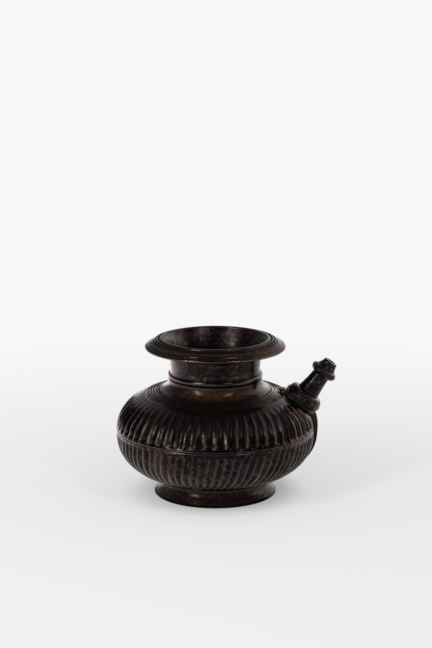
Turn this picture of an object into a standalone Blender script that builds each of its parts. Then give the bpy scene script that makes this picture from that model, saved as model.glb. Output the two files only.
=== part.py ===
"""Lota: a small cast-bronze water pot with a fluted bowl, a short neck, an everted rim and a spout.

Each piece is one object, shaped as it would be cast or turned before the pot is brazed together:
two fluted half bowls lapped at a seam band, a foot ring, a neck with its ring, a rim, and a spout
made of a saddle, a collar, a tube, a bead and a nozzle. Units are metres and +Z is up.
"""

from bisect import bisect_left
from math import acos, asin, cos, hypot, pi, radians, sin, sqrt

import bmesh
import bpy
from mathutils import Vector

MM = 0.001

# Clearance between faces that are brazed or soldered together
SEAT_GAP = 0.3 * MM

# Bowl: a superellipse turned about the pot's axis, with unlike upper and lower halves
BELLY_RADIUS = 75.5 * MM
UPPER_RISE = 37.16 * MM
UPPER_SQUARENESS = 2.58
LOWER_DROP = 40.2 * MM
LOWER_SQUARENESS = 2.36
BOWL_WALL = 3.0 * MM
FLAT_UNDERSIDE_RADIUS = 30.0 * MM

# Seam: the upper half slips over a lap on the lower half, and a flush band closes the joint
SEAM_ABOVE_BELLY = 3.1 * MM
SEAM_BAND_HEIGHT = 2.2 * MM
LAP_HEIGHT = 5.0 * MM
LAP_THICKNESS = 1.6 * MM

# Flutes: hollows cut into the bowl between sharp ridges that keep the bowl's own outline
UPPER_FLUTES = 60
LOWER_FLUTES = 78
UPPER_FLUTE_DEPTH = 1.3 * MM
LOWER_FLUTE_DEPTH = 1.0 * MM
FLUTE_RUNOUT = 7.0 * MM
SEAM_RUNOUT = 3.5 * MM
SHOULDER_BAND_DROP = 3.6 * MM
UNDERSIDE_BAND_RISE = 8.0 * MM
UPPER_LEAN_DEGREES_PER_MM = 0.065
LOWER_LEAN_DEGREES_PER_MM = 0.17
PLAIN_PATCH_INNER = 17.0 * MM
PLAIN_PATCH_FADE = 7.0 * MM

# Foot: a flared ring with a plain edge band
FOOT_RADIUS = 46.3 * MM
FOOT_HEIGHT = 12.0 * MM
FOOT_WAIST = 42.4 * MM
FOOT_WALL = 3.8 * MM
FOOT_EDGE_HEIGHT = 3.6 * MM

# Neck, its ring, and the cove that carries them on the shoulder
NECK_RADIUS = 34.6 * MM
NECK_WALL = 2.8 * MM
NECK_WAIST_INSET = 0.4 * MM
NECK_HEIGHT = 18.4 * MM
NECK_SPIGOT_HEIGHT = 4.5 * MM
NECK_SPIGOT_WALL = 1.2 * MM
COVE_RADIUS = 8.6 * MM
COVE_LEDGE = 1.0 * MM
NECK_RING_HEIGHT = 4.4 * MM
NECK_RING_BULGE = 1.6 * MM

# Rim: a throat that flares from the neck's bore, a rounded lip and a sloping flange
THROAT_HEIGHT = 18.7 * MM
THROAT_CURVE = 1.8
RIM_LIP_FLARE = 6.9 * MM
RIM_LIP_RISE = 12.5 * MM
RIM_LIP_WIDTH = 3.4 * MM
RIM_LIP_CREST = 0.85 * MM
RIM_FLANGE_WIDTH = 11.4 * MM
RIM_FLANGE_DROP = 5.1 * MM
RIM_FLANGE_CROWN = 1.0 * MM
RIM_EDGE_HEIGHT = 1.9 * MM
RIM_THICKNESS = 3.9 * MM
RIM_ROOT_THICKNESS = 5.5 * MM

# Spout: pieces turned about one axis that stands on the bowl, leaning a little up from square
SPOUT_ROOT_RISE = 23.6 * MM
SPOUT_LEAN_DEGREES = 2.2
SPOUT_BORE_ROOT = 4.4 * MM
SPOUT_BORE_TIP = 3.2 * MM
SADDLE_HEIGHT = 2.2 * MM
SADDLE_RADIUS = 15.0 * MM
SADDLE_EDGE = 0.9 * MM
TAIL_REACH = 50.0 * MM
TAIL_ROOT_WIDTH = 15.0 * MM
TAIL_TIP_WIDTH = 8.0 * MM
TAIL_ROOT_THICKNESS = 3.3 * MM
TAIL_TIP_THICKNESS = 1.3 * MM
TONGUE_REACH = 19.5 * MM
TONGUE_TIP_THICKNESS = 0.9 * MM
PLATE_END_ROUND = 5.0 * MM
COLLAR_RADIUS = 13.4 * MM
COLLAR_HEIGHT = 7.0 * MM
COLLAR_ROUND = 2.6 * MM
TUBE_SOCKET_RADIUS = 8.2 * MM
TUBE_ROOT_RADIUS = 8.7 * MM
TUBE_TOP_RADIUS = 6.9 * MM
TUBE_LENGTH = 16.0 * MM
TUBE_TAPER_CURVE = 1.6
TUBE_BURIED = 7.5 * MM
TUBE_SPIGOT_RADIUS = 5.0 * MM
BEAD_RADIUS = 10.3 * MM
BEAD_HEIGHT = 6.2 * MM
NOZZLE_ROOT_RADIUS = 7.5 * MM
NOZZLE_TIP_RADIUS = 5.3 * MM
NOZZLE_LENGTH = 6.1 * MM
NOZZLE_SOCKET_DEPTH = 2.6 * MM
NOZZLE_EDGE = 0.4 * MM

# Facets
TURNED_SIDES = 36
SPOUT_SIDES = 24
COLUMNS_PER_FLUTE = 3
FLUTE_STRIPS = 5
PLATE_STRIPS = 20
PLATE_COLUMNS = 6
THROAT_STRIPS = 3
CUTTER_STRIPS = 32
MERIDIAN_STEPS = 240
SMOOTH_ANGLE = radians(35)


# Shape of the bowl

def bowl_half(upper):
    """Sign, height and squareness of one half of the bowl."""
    if upper:
        return 1, UPPER_RISE, UPPER_SQUARENESS
    return -1, LOWER_DROP, LOWER_SQUARENESS


def rise_from_belly(radius, upper):
    """Height of the bowl's surface above or below the belly where it has this radius."""
    sign, reach, power = bowl_half(upper)
    return sign * reach * (1 - (radius / BELLY_RADIUS) ** power) ** (1 / power)


FOOT_JOINT_Z = FOOT_HEIGHT
BELLY_Z = FOOT_JOINT_Z - rise_from_belly(FOOT_WAIST, upper=False)


def bowl_point(angle):
    """(radius, z) on the bowl; the angle runs from -90 degrees at its base to 90 at its crown."""
    sign, reach, power = bowl_half(angle >= 0)
    radius = BELLY_RADIUS * cos(angle) ** (2 / power)
    return radius, BELLY_Z + sign * reach * abs(sin(angle)) ** (2 / power)


def bowl_angle(z):
    """The angle at which the bowl's surface has this height."""
    sign, reach, power = bowl_half(z >= BELLY_Z)
    return sign * asin((abs(z - BELLY_Z) / reach) ** (power / 2))


def bowl_angle_at_radius(radius, upper):
    """The angle at which one half of the bowl has this radius."""
    sign, _, power = bowl_half(upper)
    return sign * acos((radius / BELLY_RADIUS) ** (power / 2))


def bowl_normal(angle):
    """Unit normal of the bowl, as (outward, up)."""
    sign, reach, power = bowl_half(angle >= 0)
    radius, z = bowl_point(angle)
    outward = (radius / BELLY_RADIUS) ** (power - 1) / BELLY_RADIUS
    up = sign * (abs(z - BELLY_Z) / reach) ** (power - 1) / reach
    length = hypot(outward, up)
    return outward / length, up / length


def bowl_offset(angle, distance):
    """(radius, z) at a distance from the bowl's surface, measured square to it."""
    radius, z = bowl_point(angle)
    outward, up = bowl_normal(angle)
    return radius + distance * outward, z + distance * up


def even_angles(first, last, strips):
    """The ends of equal steps of bowl angle."""
    return [first + (last - first) * i / strips for i in range(strips + 1)]


# Heights and places that follow from the sizes above

SEAM_Z = BELLY_Z + SEAM_ABOVE_BELLY
LOWER_EDGE_Z = SEAM_Z - SEAM_BAND_HEIGHT / 2 - SEAT_GAP
UPPER_EDGE_Z = SEAM_Z + SEAM_BAND_HEIGHT / 2 + SEAT_GAP
LAP_SEAT_ANGLE = bowl_angle(UPPER_EDGE_Z + LAP_HEIGHT)
LAP_SEAT_RADIUS, LAP_SEAT_Z = bowl_offset(LAP_SEAT_ANGLE, -BOWL_WALL)
NECK_BORE = NECK_RADIUS - NECK_WALL
LEDGE_RADIUS = NECK_RADIUS + COVE_LEDGE


def cove_foot_angle():
    """Where the cove, rolled into the corner of shoulder and neck, leaves the bowl."""
    inner = bowl_angle_at_radius(NECK_BORE, upper=True)
    outer = 0.0
    for _ in range(50):
        middle = (inner + outer) / 2
        if bowl_offset(middle, COVE_RADIUS)[0] > LEDGE_RADIUS + COVE_RADIUS:
            outer = middle
        else:
            inner = middle
    return middle


COVE_FOOT = cove_foot_angle()
COVE_FOOT_Z = bowl_point(COVE_FOOT)[1]
COVE_CENTRE_R, LEDGE_Z = bowl_offset(COVE_FOOT, COVE_RADIUS)
UPPER_FLUTE_END_Z = COVE_FOOT_Z - SHOULDER_BAND_DROP
LOWER_FLUTE_END_Z = FOOT_JOINT_Z + UNDERSIDE_BAND_RISE
NECK_BOTTOM_Z = LEDGE_Z + SEAT_GAP
NECK_TOP_Z = NECK_BOTTOM_Z + NECK_HEIGHT
RIM_LEDGE_Z = NECK_TOP_Z + SEAT_GAP
FLANGE_TOP_Z = NECK_TOP_Z + RIM_LIP_RISE - RIM_LIP_CREST
THROAT_Z = FLANGE_TOP_Z - THROAT_HEIGHT

SPOUT_ROOT_ANGLE = bowl_angle(BELLY_Z + SPOUT_ROOT_RISE)
SPOUT_ROOT_R, SPOUT_ROOT_Z = bowl_point(SPOUT_ROOT_ANGLE)
SPOUT_TILT = acos(bowl_normal(SPOUT_ROOT_ANGLE)[1]) - radians(SPOUT_LEAN_DEGREES)
SPOUT_ROOT = Vector((SPOUT_ROOT_R, 0, SPOUT_ROOT_Z))
SPOUT_AXIS = Vector((sin(SPOUT_TILT), 0, cos(SPOUT_TILT)))
COLLAR_TOP = SADDLE_HEIGHT + COLLAR_HEIGHT
TUBE_ROOT = COLLAR_TOP + SEAT_GAP
TUBE_TOP = TUBE_ROOT + TUBE_LENGTH
BEAD_ROOT = TUBE_TOP + SEAT_GAP
NOZZLE_ROOT = BEAD_ROOT + BEAD_HEIGHT + SEAT_GAP
NOZZLE_TIP = NOZZLE_ROOT + NOZZLE_LENGTH
TUBE_SPIGOT_TOP = NOZZLE_ROOT + NOZZLE_SOCKET_DEPTH - SEAT_GAP
SPOUT_REACH = SPOUT_ROOT_R + NOZZLE_TIP * sin(SPOUT_TILT) + NOZZLE_TIP_RADIUS * cos(SPOUT_TILT)

# The origin lies under the middle of the whole pot, so its axis stands off to the back
AXIS_X = (BELLY_RADIUS - SPOUT_REACH) / 2


# Meshes

def bridge(bm, first, second):
    """Faces between two rings; the larger has a whole number of corners for each of the other's."""
    many, few = (first, second) if len(first) >= len(second) else (second, first)
    share = len(many) // len(few)
    for j, corner in enumerate(few):
        after = few[(j + 1) % len(few)]
        run = [many[(j * share + i) % len(many)] for i in range(share + 1)]
        if share == 1:
            bm.faces.new((corner, run[0], run[1], after))
            continue
        for a, b in zip(run, run[1:]):
            bm.faces.new((corner, a, b))
        if after is not corner:
            bm.faces.new((corner, run[-1], after))


def bronze(name, colour, roughness):
    """Dark patinated bronze; the colour is linear."""
    material = bpy.data.materials.new(name + "_bronze")
    material.use_nodes = True
    shader = material.node_tree.nodes["Principled BSDF"]
    shader.inputs["Base Color"].default_value = (*colour, 1.0)
    shader.inputs["Metallic"].default_value = 1.0
    shader.inputs["Roughness"].default_value = roughness
    return material


def add_object(name, bm, parent, finish):
    """One named piece from a bmesh, with faces pointing out and shaded smooth."""
    bmesh.ops.recalc_face_normals(bm, faces=bm.faces)
    mesh = bpy.data.meshes.new(name)
    bm.to_mesh(mesh)
    bm.free()
    mesh.shade_smooth()
    mesh.set_sharp_from_angle(angle=SMOOTH_ANGLE)
    piece = bpy.data.objects.new(name, mesh)
    bpy.context.collection.objects.link(piece)
    piece.parent = parent
    if finish:
        mesh.materials.append(bronze(name, *finish))
    return piece


def skin(name, rows, parent, finish=None, closed=True):
    """A piece skinned over rings of points; a closed one joins its last ring to its first."""
    bm = bmesh.new()
    rings = [[bm.verts.new(point) for point in row] for row in rows]
    for first, second in zip(rings, rings[1:]):
        bridge(bm, first, second)
    if closed:
        bridge(bm, rings[-1], rings[0])
    return add_object(name, bm, parent, finish)


def turned_row(radius, z, sides, turn=0.0):
    """A ring of points about the local Z axis, or one point on it."""
    if radius == 0:
        return [Vector((0, 0, z))]
    steps = [turn + 2 * pi * i / sides for i in range(sides)]
    return [Vector((radius * cos(a), radius * sin(a), z)) for a in steps]


def turned(name, profile, sides, parent, finish=None, closed=True):
    """A piece turned from a profile of (radius, z) points."""
    rows = [turned_row(radius, z, sides) for radius, z in profile]
    return skin(name, rows, parent, finish, closed)


def arc(centre, radius, first, last, strips):
    """Points on a circle in a profile, both ends included."""
    steps = [first + (last - first) * i / strips for i in range(strips + 1)]
    return [(centre[0] + radius * cos(a), centre[1] + radius * sin(a)) for a in steps]


def cut(piece, cutter):
    """Take a cutter's shape out of a piece."""
    modifier = piece.modifiers.new(cutter.name, "BOOLEAN")
    modifier.operation = "DIFFERENCE"
    modifier.object = cutter


def as_cutter(piece):
    """Keep a piece out of the model, to cut others with."""
    piece.hide_render = True
    piece.display_type = "WIRE"
    return piece


# Fluted half bowls

def ease(x):
    """Smooth step from 0 to 1."""
    x = min(max(x, 0.0), 1.0)
    return x * x * (3 - 2 * x)


def off_spout_axis(point):
    """Distance of a point from the spout's axis."""
    return (point - SPOUT_ROOT).cross(SPOUT_AXIS).length


def lean_turn(z, lean):
    """How far the flutes have turned about the pot's axis at a height, in radians."""
    return radians(lean) * (z - SEAM_Z) / MM


def fluted_row(angle, flutes, depth, edge_z, end_z, lean):
    """A ring of the bowl's surface, cut into by flutes that run out at both ends and round the spout."""
    radius, z = bowl_point(angle)
    outward, up = bowl_normal(angle)
    columns = flutes * COLUMNS_PER_FLUTE
    full = depth * ease(abs(end_z - z) / FLUTE_RUNOUT) * ease(abs(edge_z - z) / SEAM_RUNOUT)
    row = []
    for i, point in enumerate(turned_row(radius, z, columns, lean_turn(z, lean))):
        side = Vector((point.x / radius * outward, point.y / radius * outward, up))
        clear = (off_spout_axis(point) - PLAIN_PATCH_INNER) / PLAIN_PATCH_FADE
        hollow = full * ease(clear) if i % COLUMNS_PER_FLUTE else 0.0
        row.append(point - side * hollow)
    return row


def plain_rows(profile, flutes, lean):
    """Rings of a plain surface whose corners follow the flutes' ridges."""
    return [turned_row(radius, z, flutes, lean_turn(z, lean)) for radius, z in profile]


def lower_bowl(parent):
    """The lower half: a flat underside, flutes up to the seam, and the lap inside it."""
    lean = LOWER_LEAN_DEGREES_PER_MM
    look = (LOWER_FLUTES, LOWER_FLUTE_DEPTH, LOWER_EDGE_Z, LOWER_FLUTE_END_Z, lean)
    edge = bowl_angle(LOWER_EDGE_Z)
    flute_end = bowl_angle(LOWER_FLUTE_END_Z)
    base = bowl_angle_at_radius(FLAT_UNDERSIDE_RADIUS, upper=False)
    lap_outer = LAP_SEAT_RADIUS - SEAT_GAP
    lap_inner = lap_outer - LAP_THICKNESS
    lap_top_z = LAP_SEAT_Z - SEAT_GAP
    lap_root_z = LOWER_EDGE_Z - LAP_HEIGHT
    inner_top = bowl_angle(lap_root_z - LAP_THICKNESS)
    outside = [bowl_point(a) for a in even_angles(base, flute_end, 3)[:-1]]
    inside = [bowl_offset(a, -BOWL_WALL) for a in even_angles(inner_top, base, 3)]
    floor_z = bowl_point(base)[1]
    rows = [[Vector((0, 0, floor_z))]]
    rows += plain_rows(outside, LOWER_FLUTES, lean)
    rows += [fluted_row(a, *look) for a in even_angles(flute_end, edge, FLUTE_STRIPS)]
    lap = [(lap_outer, LOWER_EDGE_Z), (lap_outer, lap_top_z)]
    lap += [(lap_inner, lap_top_z), (lap_inner, lap_root_z)]
    rows += plain_rows(lap + inside, LOWER_FLUTES, lean)
    rows.append([Vector((0, 0, inside[-1][1]))])
    return skin("lower_bowl", rows, parent, ((0.075, 0.046, 0.036), 0.36), closed=False)


def upper_bowl(parent, bore):
    """The upper half: flutes, a plain shoulder, the cove and the spigot that takes the neck."""
    lean = UPPER_LEAN_DEGREES_PER_MM
    look = (UPPER_FLUTES, UPPER_FLUTE_DEPTH, UPPER_EDGE_Z, UPPER_FLUTE_END_Z, lean)
    edge = bowl_angle(UPPER_EDGE_Z)
    flute_end = bowl_angle(UPPER_FLUTE_END_Z)
    outward, up = bowl_normal(COVE_FOOT)
    cove_start = 1.5 * pi - asin(outward)
    cove = arc((COVE_CENTRE_R, LEDGE_Z), COVE_RADIUS, cove_start, pi, 4)
    spigot_radius = NECK_BORE + NECK_SPIGOT_WALL
    spigot_top_z = NECK_BOTTOM_Z + NECK_SPIGOT_HEIGHT - SEAT_GAP
    spigot = [(spigot_radius, LEDGE_Z), (spigot_radius, spigot_top_z), (NECK_BORE, spigot_top_z)]
    under_cove = arc((COVE_CENTRE_R, LEDGE_Z), COVE_RADIUS + BOWL_WALL, pi, cove_start, 3)
    inside = [(NECK_BORE, LEDGE_Z)] + under_cove[1:]
    inside += [bowl_offset(a, -BOWL_WALL) for a in even_angles(COVE_FOOT, LAP_SEAT_ANGLE, 3)[1:]]
    inside.append((LAP_SEAT_RADIUS, UPPER_EDGE_Z))
    rows = [fluted_row(a, *look) for a in even_angles(edge, flute_end, FLUTE_STRIPS)]
    rows += plain_rows(cove + spigot + inside, UPPER_FLUTES, lean)
    bowl = skin("upper_bowl", rows, parent, ((0.085, 0.052, 0.038), 0.34))
    cut(bowl, bore)
    return bowl


def seam_band(parent):
    """The flush band round the joint of the two halves."""
    bottom_z = SEAM_Z - SEAM_BAND_HEIGHT / 2
    top_z = SEAM_Z + SEAM_BAND_HEIGHT / 2
    bottom_radius = bowl_point(bowl_angle(bottom_z))[0]
    top_radius = bowl_point(bowl_angle(top_z))[0]
    profile = [(top_radius, top_z), (bottom_radius, bottom_z)]
    profile += [(LAP_SEAT_RADIUS, bottom_z), (LAP_SEAT_RADIUS, top_z)]
    return turned("seam_band", profile, UPPER_FLUTES, parent, ((0.070, 0.045, 0.036), 0.38))


# Foot, neck and rim

def foot_ring(parent):
    """A hollow flared foot whose top face follows the bowl's underside."""
    inner_waist = FOOT_WAIST - FOOT_WALL
    outer_seat = bowl_offset(bowl_angle_at_radius(FOOT_WAIST, upper=False), SEAT_GAP)
    inner_seat = bowl_offset(bowl_angle_at_radius(inner_waist, upper=False), SEAT_GAP)
    flare_width = FOOT_RADIUS - outer_seat[0]
    flare_height = outer_seat[1] - FOOT_EDGE_HEIGHT
    strips = 4
    quarter = [0.5 * pi * i / strips for i in range(strips + 1)]
    flare = [
        (FOOT_RADIUS - flare_width * sin(a), FOOT_EDGE_HEIGHT + flare_height * (1 - cos(a)))
        for a in quarter
    ]
    profile = [inner_seat] + flare[::-1] + [(FOOT_RADIUS, 0), (FOOT_RADIUS - FOOT_WALL, 0)]
    return turned("foot_ring", profile, TURNED_SIDES, parent, ((0.085, 0.054, 0.042), 0.32))


def throat_radius(z):
    """Inside radius of the neck and rim, which open like a trumpet to the lip."""
    share = max(0.0, z - THROAT_Z) / THROAT_HEIGHT
    return NECK_BORE + RIM_LIP_FLARE * share ** THROAT_CURVE


def throat(bottom_z, top_z, offset=0.0):
    """A stretch of the throat's profile, from its bottom up."""
    steps = [bottom_z + (top_z - bottom_z) * i / THROAT_STRIPS for i in range(THROAT_STRIPS + 1)]
    return [(throat_radius(z) + offset, z) for z in steps]


def neck(parent):
    """A short tube, drawn in a little at its waist, that flares into the throat at its top."""
    socket = NECK_BORE + NECK_SPIGOT_WALL + SEAT_GAP
    socket_top_z = NECK_BOTTOM_Z + NECK_SPIGOT_HEIGHT
    ring_top_z = NECK_BOTTOM_Z + NECK_RING_HEIGHT
    waist = NECK_RADIUS - NECK_WAIST_INSET
    profile = throat(THROAT_Z, NECK_TOP_Z, NECK_WALL)[::-1]
    profile += [
        (waist, (THROAT_Z + ring_top_z) / 2),
        (NECK_RADIUS, ring_top_z),
        (NECK_RADIUS, NECK_BOTTOM_Z),
        (socket, NECK_BOTTOM_Z),
        (socket, socket_top_z),
        (NECK_BORE, socket_top_z),
    ]
    profile += throat(THROAT_Z, NECK_TOP_Z)
    return turned("neck", profile, TURNED_SIDES, parent, ((0.080, 0.050, 0.040), 0.38))


def neck_ring(parent):
    """A half-round ring that hides the neck's joint and sits on the shoulder's ledge."""
    inner = NECK_RADIUS + SEAT_GAP
    bulge = NECK_RING_BULGE - SEAT_GAP
    middle_z = NECK_BOTTOM_Z + NECK_RING_HEIGHT / 2
    strips = 6
    steps = [0.5 * pi - pi * i / strips for i in range(strips + 1)]
    profile = [(inner + bulge * cos(a), middle_z + NECK_RING_HEIGHT / 2 * sin(a)) for a in steps]
    return turned("neck_ring", profile, TURNED_SIDES, parent, ((0.085, 0.056, 0.044), 0.26))


def rim(parent):
    """The mouth: a flared throat on the neck's end, a lip with a rounded crest, a sloping flange."""
    lip_inner = NECK_BORE + RIM_LIP_FLARE
    lip_outer = lip_inner + RIM_LIP_WIDTH
    strips = 4
    steps = [pi - pi * i / strips for i in range(strips + 1)]
    crest = [
        (lip_inner + RIM_LIP_WIDTH * (1 + cos(a)) / 2, FLANGE_TOP_Z + RIM_LIP_CREST * sin(a))
        for a in steps
    ]
    edge = lip_outer + RIM_FLANGE_WIDTH
    shares = [i / strips for i in range(1, strips + 1)]
    top = [
        (
            lip_outer + RIM_FLANGE_WIDTH * s,
            FLANGE_TOP_Z - RIM_FLANGE_DROP * s + 4 * RIM_FLANGE_CROWN * s * (1 - s),
        )
        for s in shares
    ]
    edge_z = top[-1][1]
    under = [
        (edge - RIM_EDGE_HEIGHT, edge_z - RIM_EDGE_HEIGHT),
        (top[1][0], top[1][1] - RIM_THICKNESS),
        (lip_outer, FLANGE_TOP_Z - RIM_ROOT_THICKNESS),
    ]
    inside = throat(RIM_LEDGE_Z, FLANGE_TOP_Z)[:-1]
    foot = (throat_radius(RIM_LEDGE_Z) + NECK_WALL, RIM_LEDGE_Z)
    profile = inside + crest + top + [(edge, edge_z - RIM_EDGE_HEIGHT / 2)] + under + [foot]
    return turned("rim", profile, TURNED_SIDES, parent, ((0.078, 0.050, 0.042), 0.34))


# Saddle plate under the spout

def meridian():
    """Bowl angles down the spout's meridian, with distances from its root; down is positive."""
    angles = even_angles(radians(85), radians(-85), MERIDIAN_STEPS)
    lengths = [0.0]
    for first, second in zip(angles, angles[1:]):
        (r0, z0), (r1, z1) = bowl_point(first), bowl_point(second)
        lengths.append(lengths[-1] + hypot(r1 - r0, z1 - z0))
    root = SPOUT_ROOT_ANGLE
    step = (angles[0] - root) / (angles[0] - angles[1])
    below = int(step)
    root_length = lengths[below] + (step - below) * (lengths[below + 1] - lengths[below])
    return angles, [length - root_length for length in lengths]


MERIDIAN_ANGLES, MERIDIAN_LENGTHS = meridian()


def meridian_angle(distance):
    """The bowl angle this far down the meridian from the spout's root."""
    i = bisect_left(MERIDIAN_LENGTHS, distance)
    first, second = MERIDIAN_LENGTHS[i - 1], MERIDIAN_LENGTHS[i]
    share = (distance - first) / (second - first)
    return MERIDIAN_ANGLES[i - 1] + share * (MERIDIAN_ANGLES[i] - MERIDIAN_ANGLES[i - 1])


def plate_half_width(distance):
    """Half the plate's width: a round saddle with a tail below it and a short tongue above."""
    reach = TAIL_REACH if distance > 0 else TONGUE_REACH
    along = abs(distance)
    taper = TAIL_ROOT_WIDTH + (TAIL_TIP_WIDTH - TAIL_ROOT_WIDTH) * along / reach
    past = max(0.0, along - (reach - PLATE_END_ROUND)) / PLATE_END_ROUND
    strap = taper / 2 * sqrt(max(0.0, 1 - past * past))
    saddle = sqrt(max(0.0, SADDLE_RADIUS ** 2 - along ** 2))
    return max(strap, saddle, SADDLE_EDGE)


def plate_thickness(distance, share, place, normal):
    """Thickness at a share of the half width, kept under the collar's flat seat."""
    reach, tip = TAIL_REACH, TAIL_TIP_THICKNESS
    if distance < 0:
        reach, tip = TONGUE_REACH, TONGUE_TIP_THICKNESS
    slope = max(0.0, abs(distance) - SADDLE_RADIUS) / (reach - SADDLE_RADIUS)
    crown = TAIL_ROOT_THICKNESS + (tip - TAIL_ROOT_THICKNESS) * slope
    thickness = SADDLE_EDGE + (crown - SADDLE_EDGE) * (1 - share * share)
    room = SADDLE_HEIGHT - SEAT_GAP - (place - SPOUT_ROOT).dot(SPOUT_AXIS)
    facing = normal.dot(SPOUT_AXIS)
    return min(thickness, room / facing) if facing > 0 else thickness


def plate_rows():
    """Closed rings round the plate, from the tongue's end down to the tail's."""
    rows = []
    for i in range(PLATE_STRIPS + 1):
        distance = -TONGUE_REACH + (TONGUE_REACH + TAIL_REACH) * i / PLATE_STRIPS
        angle = meridian_angle(distance)
        radius, z = bowl_offset(angle, SEAT_GAP)
        outward, up = bowl_normal(angle)
        half = plate_half_width(distance)
        under, over = [], []
        for j in range(PLATE_COLUMNS + 1):
            share = 2 * j / PLATE_COLUMNS - 1
            turn = share * half / radius
            normal = Vector((outward * cos(turn), outward * sin(turn), up))
            place = Vector((radius * cos(turn), radius * sin(turn), z))
            under.append(place)
            over.append(place + normal * plate_thickness(distance, share, place, normal))
        rows.append(under + over[::-1])
    return rows


def spout_saddle(parent, tube_hole):
    """The plate that beds the spout on the bowl, with a tail over the seam."""
    bm = bmesh.new()
    rings = [[bm.verts.new(point) for point in row] for row in plate_rows()]
    for first, second in zip(rings, rings[1:]):
        bridge(bm, first, second)
    width = PLATE_COLUMNS + 1
    for end in (rings[0], rings[-1]):
        for j in range(PLATE_COLUMNS):
            bm.faces.new((end[j], end[j + 1], end[2 * width - 2 - j], end[2 * width - 1 - j]))
    plate = add_object("spout_saddle", bm, parent, ((0.075, 0.052, 0.038), 0.40))
    cut(plate, tube_hole)
    return plate


# Spout pieces, turned about the spout's own axis

def spout_collar(parent):
    """A thick rounded ring that holds the tube on its saddle."""
    inner = TUBE_SOCKET_RADIUS + SEAT_GAP
    swell = COLLAR_RADIUS - COLLAR_ROUND
    profile = [(inner, COLLAR_TOP), (inner, SADDLE_HEIGHT)]
    profile += arc((swell, SADDLE_HEIGHT + COLLAR_ROUND), COLLAR_ROUND, -0.5 * pi, 0, 3)
    profile += arc((swell, COLLAR_TOP - COLLAR_ROUND), COLLAR_ROUND, 0, 0.5 * pi, 3)
    return turned("spout_collar", profile, SPOUT_SIDES, parent, ((0.045, 0.034, 0.030), 0.42))


def tube_bore(height):
    """Bore of the tube, which narrows evenly from root to tip."""
    return SPOUT_BORE_ROOT + (SPOUT_BORE_TIP - SPOUT_BORE_ROOT) * height / NOZZLE_TIP


def spout_tube(parent, bowl_cutter):
    """The tapered tube, from the bowl's wall up into the nozzle."""
    strips = 4
    shares = [i / strips for i in range(strips + 1)]
    taper = [
        (
            TUBE_TOP_RADIUS + (TUBE_ROOT_RADIUS - TUBE_TOP_RADIUS) * (1 - s) ** TUBE_TAPER_CURVE,
            TUBE_ROOT + TUBE_LENGTH * s,
        )
        for s in shares
    ]
    profile = [(TUBE_SOCKET_RADIUS, -TUBE_BURIED), (TUBE_SOCKET_RADIUS, TUBE_ROOT)] + taper
    profile += [(TUBE_SPIGOT_RADIUS, TUBE_TOP), (TUBE_SPIGOT_RADIUS, TUBE_SPIGOT_TOP)]
    profile += [(tube_bore(TUBE_SPIGOT_TOP), TUBE_SPIGOT_TOP), (tube_bore(-TUBE_BURIED), -TUBE_BURIED)]
    tube = turned("spout_tube", profile, SPOUT_SIDES, parent, ((0.075, 0.050, 0.038), 0.34))
    cut(tube, bowl_cutter)
    return tube


def spout_bead(parent):
    """A rounded ring between the tube and the nozzle."""
    half = BEAD_HEIGHT / 2
    inner = TUBE_SPIGOT_RADIUS + SEAT_GAP
    profile = [(inner, BEAD_ROOT + BEAD_HEIGHT), (inner, BEAD_ROOT)]
    profile += arc((BEAD_RADIUS - half, BEAD_ROOT + half), half, -0.5 * pi, 0.5 * pi, 6)
    return turned("spout_bead", profile, SPOUT_SIDES, parent, ((0.065, 0.044, 0.036), 0.36))


def spout_nozzle(parent):
    """The tapered tip, socketed over the tube's end."""
    socket = TUBE_SPIGOT_RADIUS + SEAT_GAP
    socket_top = NOZZLE_ROOT + NOZZLE_SOCKET_DEPTH
    bore = tube_bore(NOZZLE_TIP)
    middle = NOZZLE_ROOT + NOZZLE_LENGTH / 2
    profile = [
        (bore, NOZZLE_TIP),
        (bore, socket_top),
        (socket, socket_top),
        (socket, NOZZLE_ROOT),
        (NOZZLE_ROOT_RADIUS, NOZZLE_ROOT),
        ((NOZZLE_ROOT_RADIUS + NOZZLE_TIP_RADIUS) / 2 - NOZZLE_EDGE / 2, middle),
        (NOZZLE_TIP_RADIUS, NOZZLE_TIP - NOZZLE_EDGE),
        (NOZZLE_TIP_RADIUS - NOZZLE_EDGE, NOZZLE_TIP),
    ]
    return turned("spout_nozzle", profile, SPOUT_SIDES, parent, ((0.060, 0.042, 0.036), 0.38))


# Assembly

def add_empty(name, parent=None):
    """An axis that pieces are placed by."""
    empty = bpy.data.objects.new(name, None)
    bpy.context.collection.objects.link(empty)
    empty.parent = parent
    return empty


def round_cutter(name, radius, bottom, top, parent):
    """A plain round bar to cut holes with."""
    profile = [(0, top), (radius, top), (radius, bottom), (0, bottom)]
    return as_cutter(turned(name, profile, SPOUT_SIDES, parent, closed=False))


def bowl_cutter(parent):
    """The bowl's outside, grown by the seat gap, to trim what stands on it."""
    ends = radians(80)
    outline = [bowl_offset(a, SEAT_GAP) for a in even_angles(ends, -ends, CUTTER_STRIPS)]
    profile = [(0, outline[0][1])] + outline + [(0, outline[-1][1])]
    sides = UPPER_FLUTES * COLUMNS_PER_FLUTE
    return as_cutter(turned("bowl_cutter", profile, sides, parent, closed=False))


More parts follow.
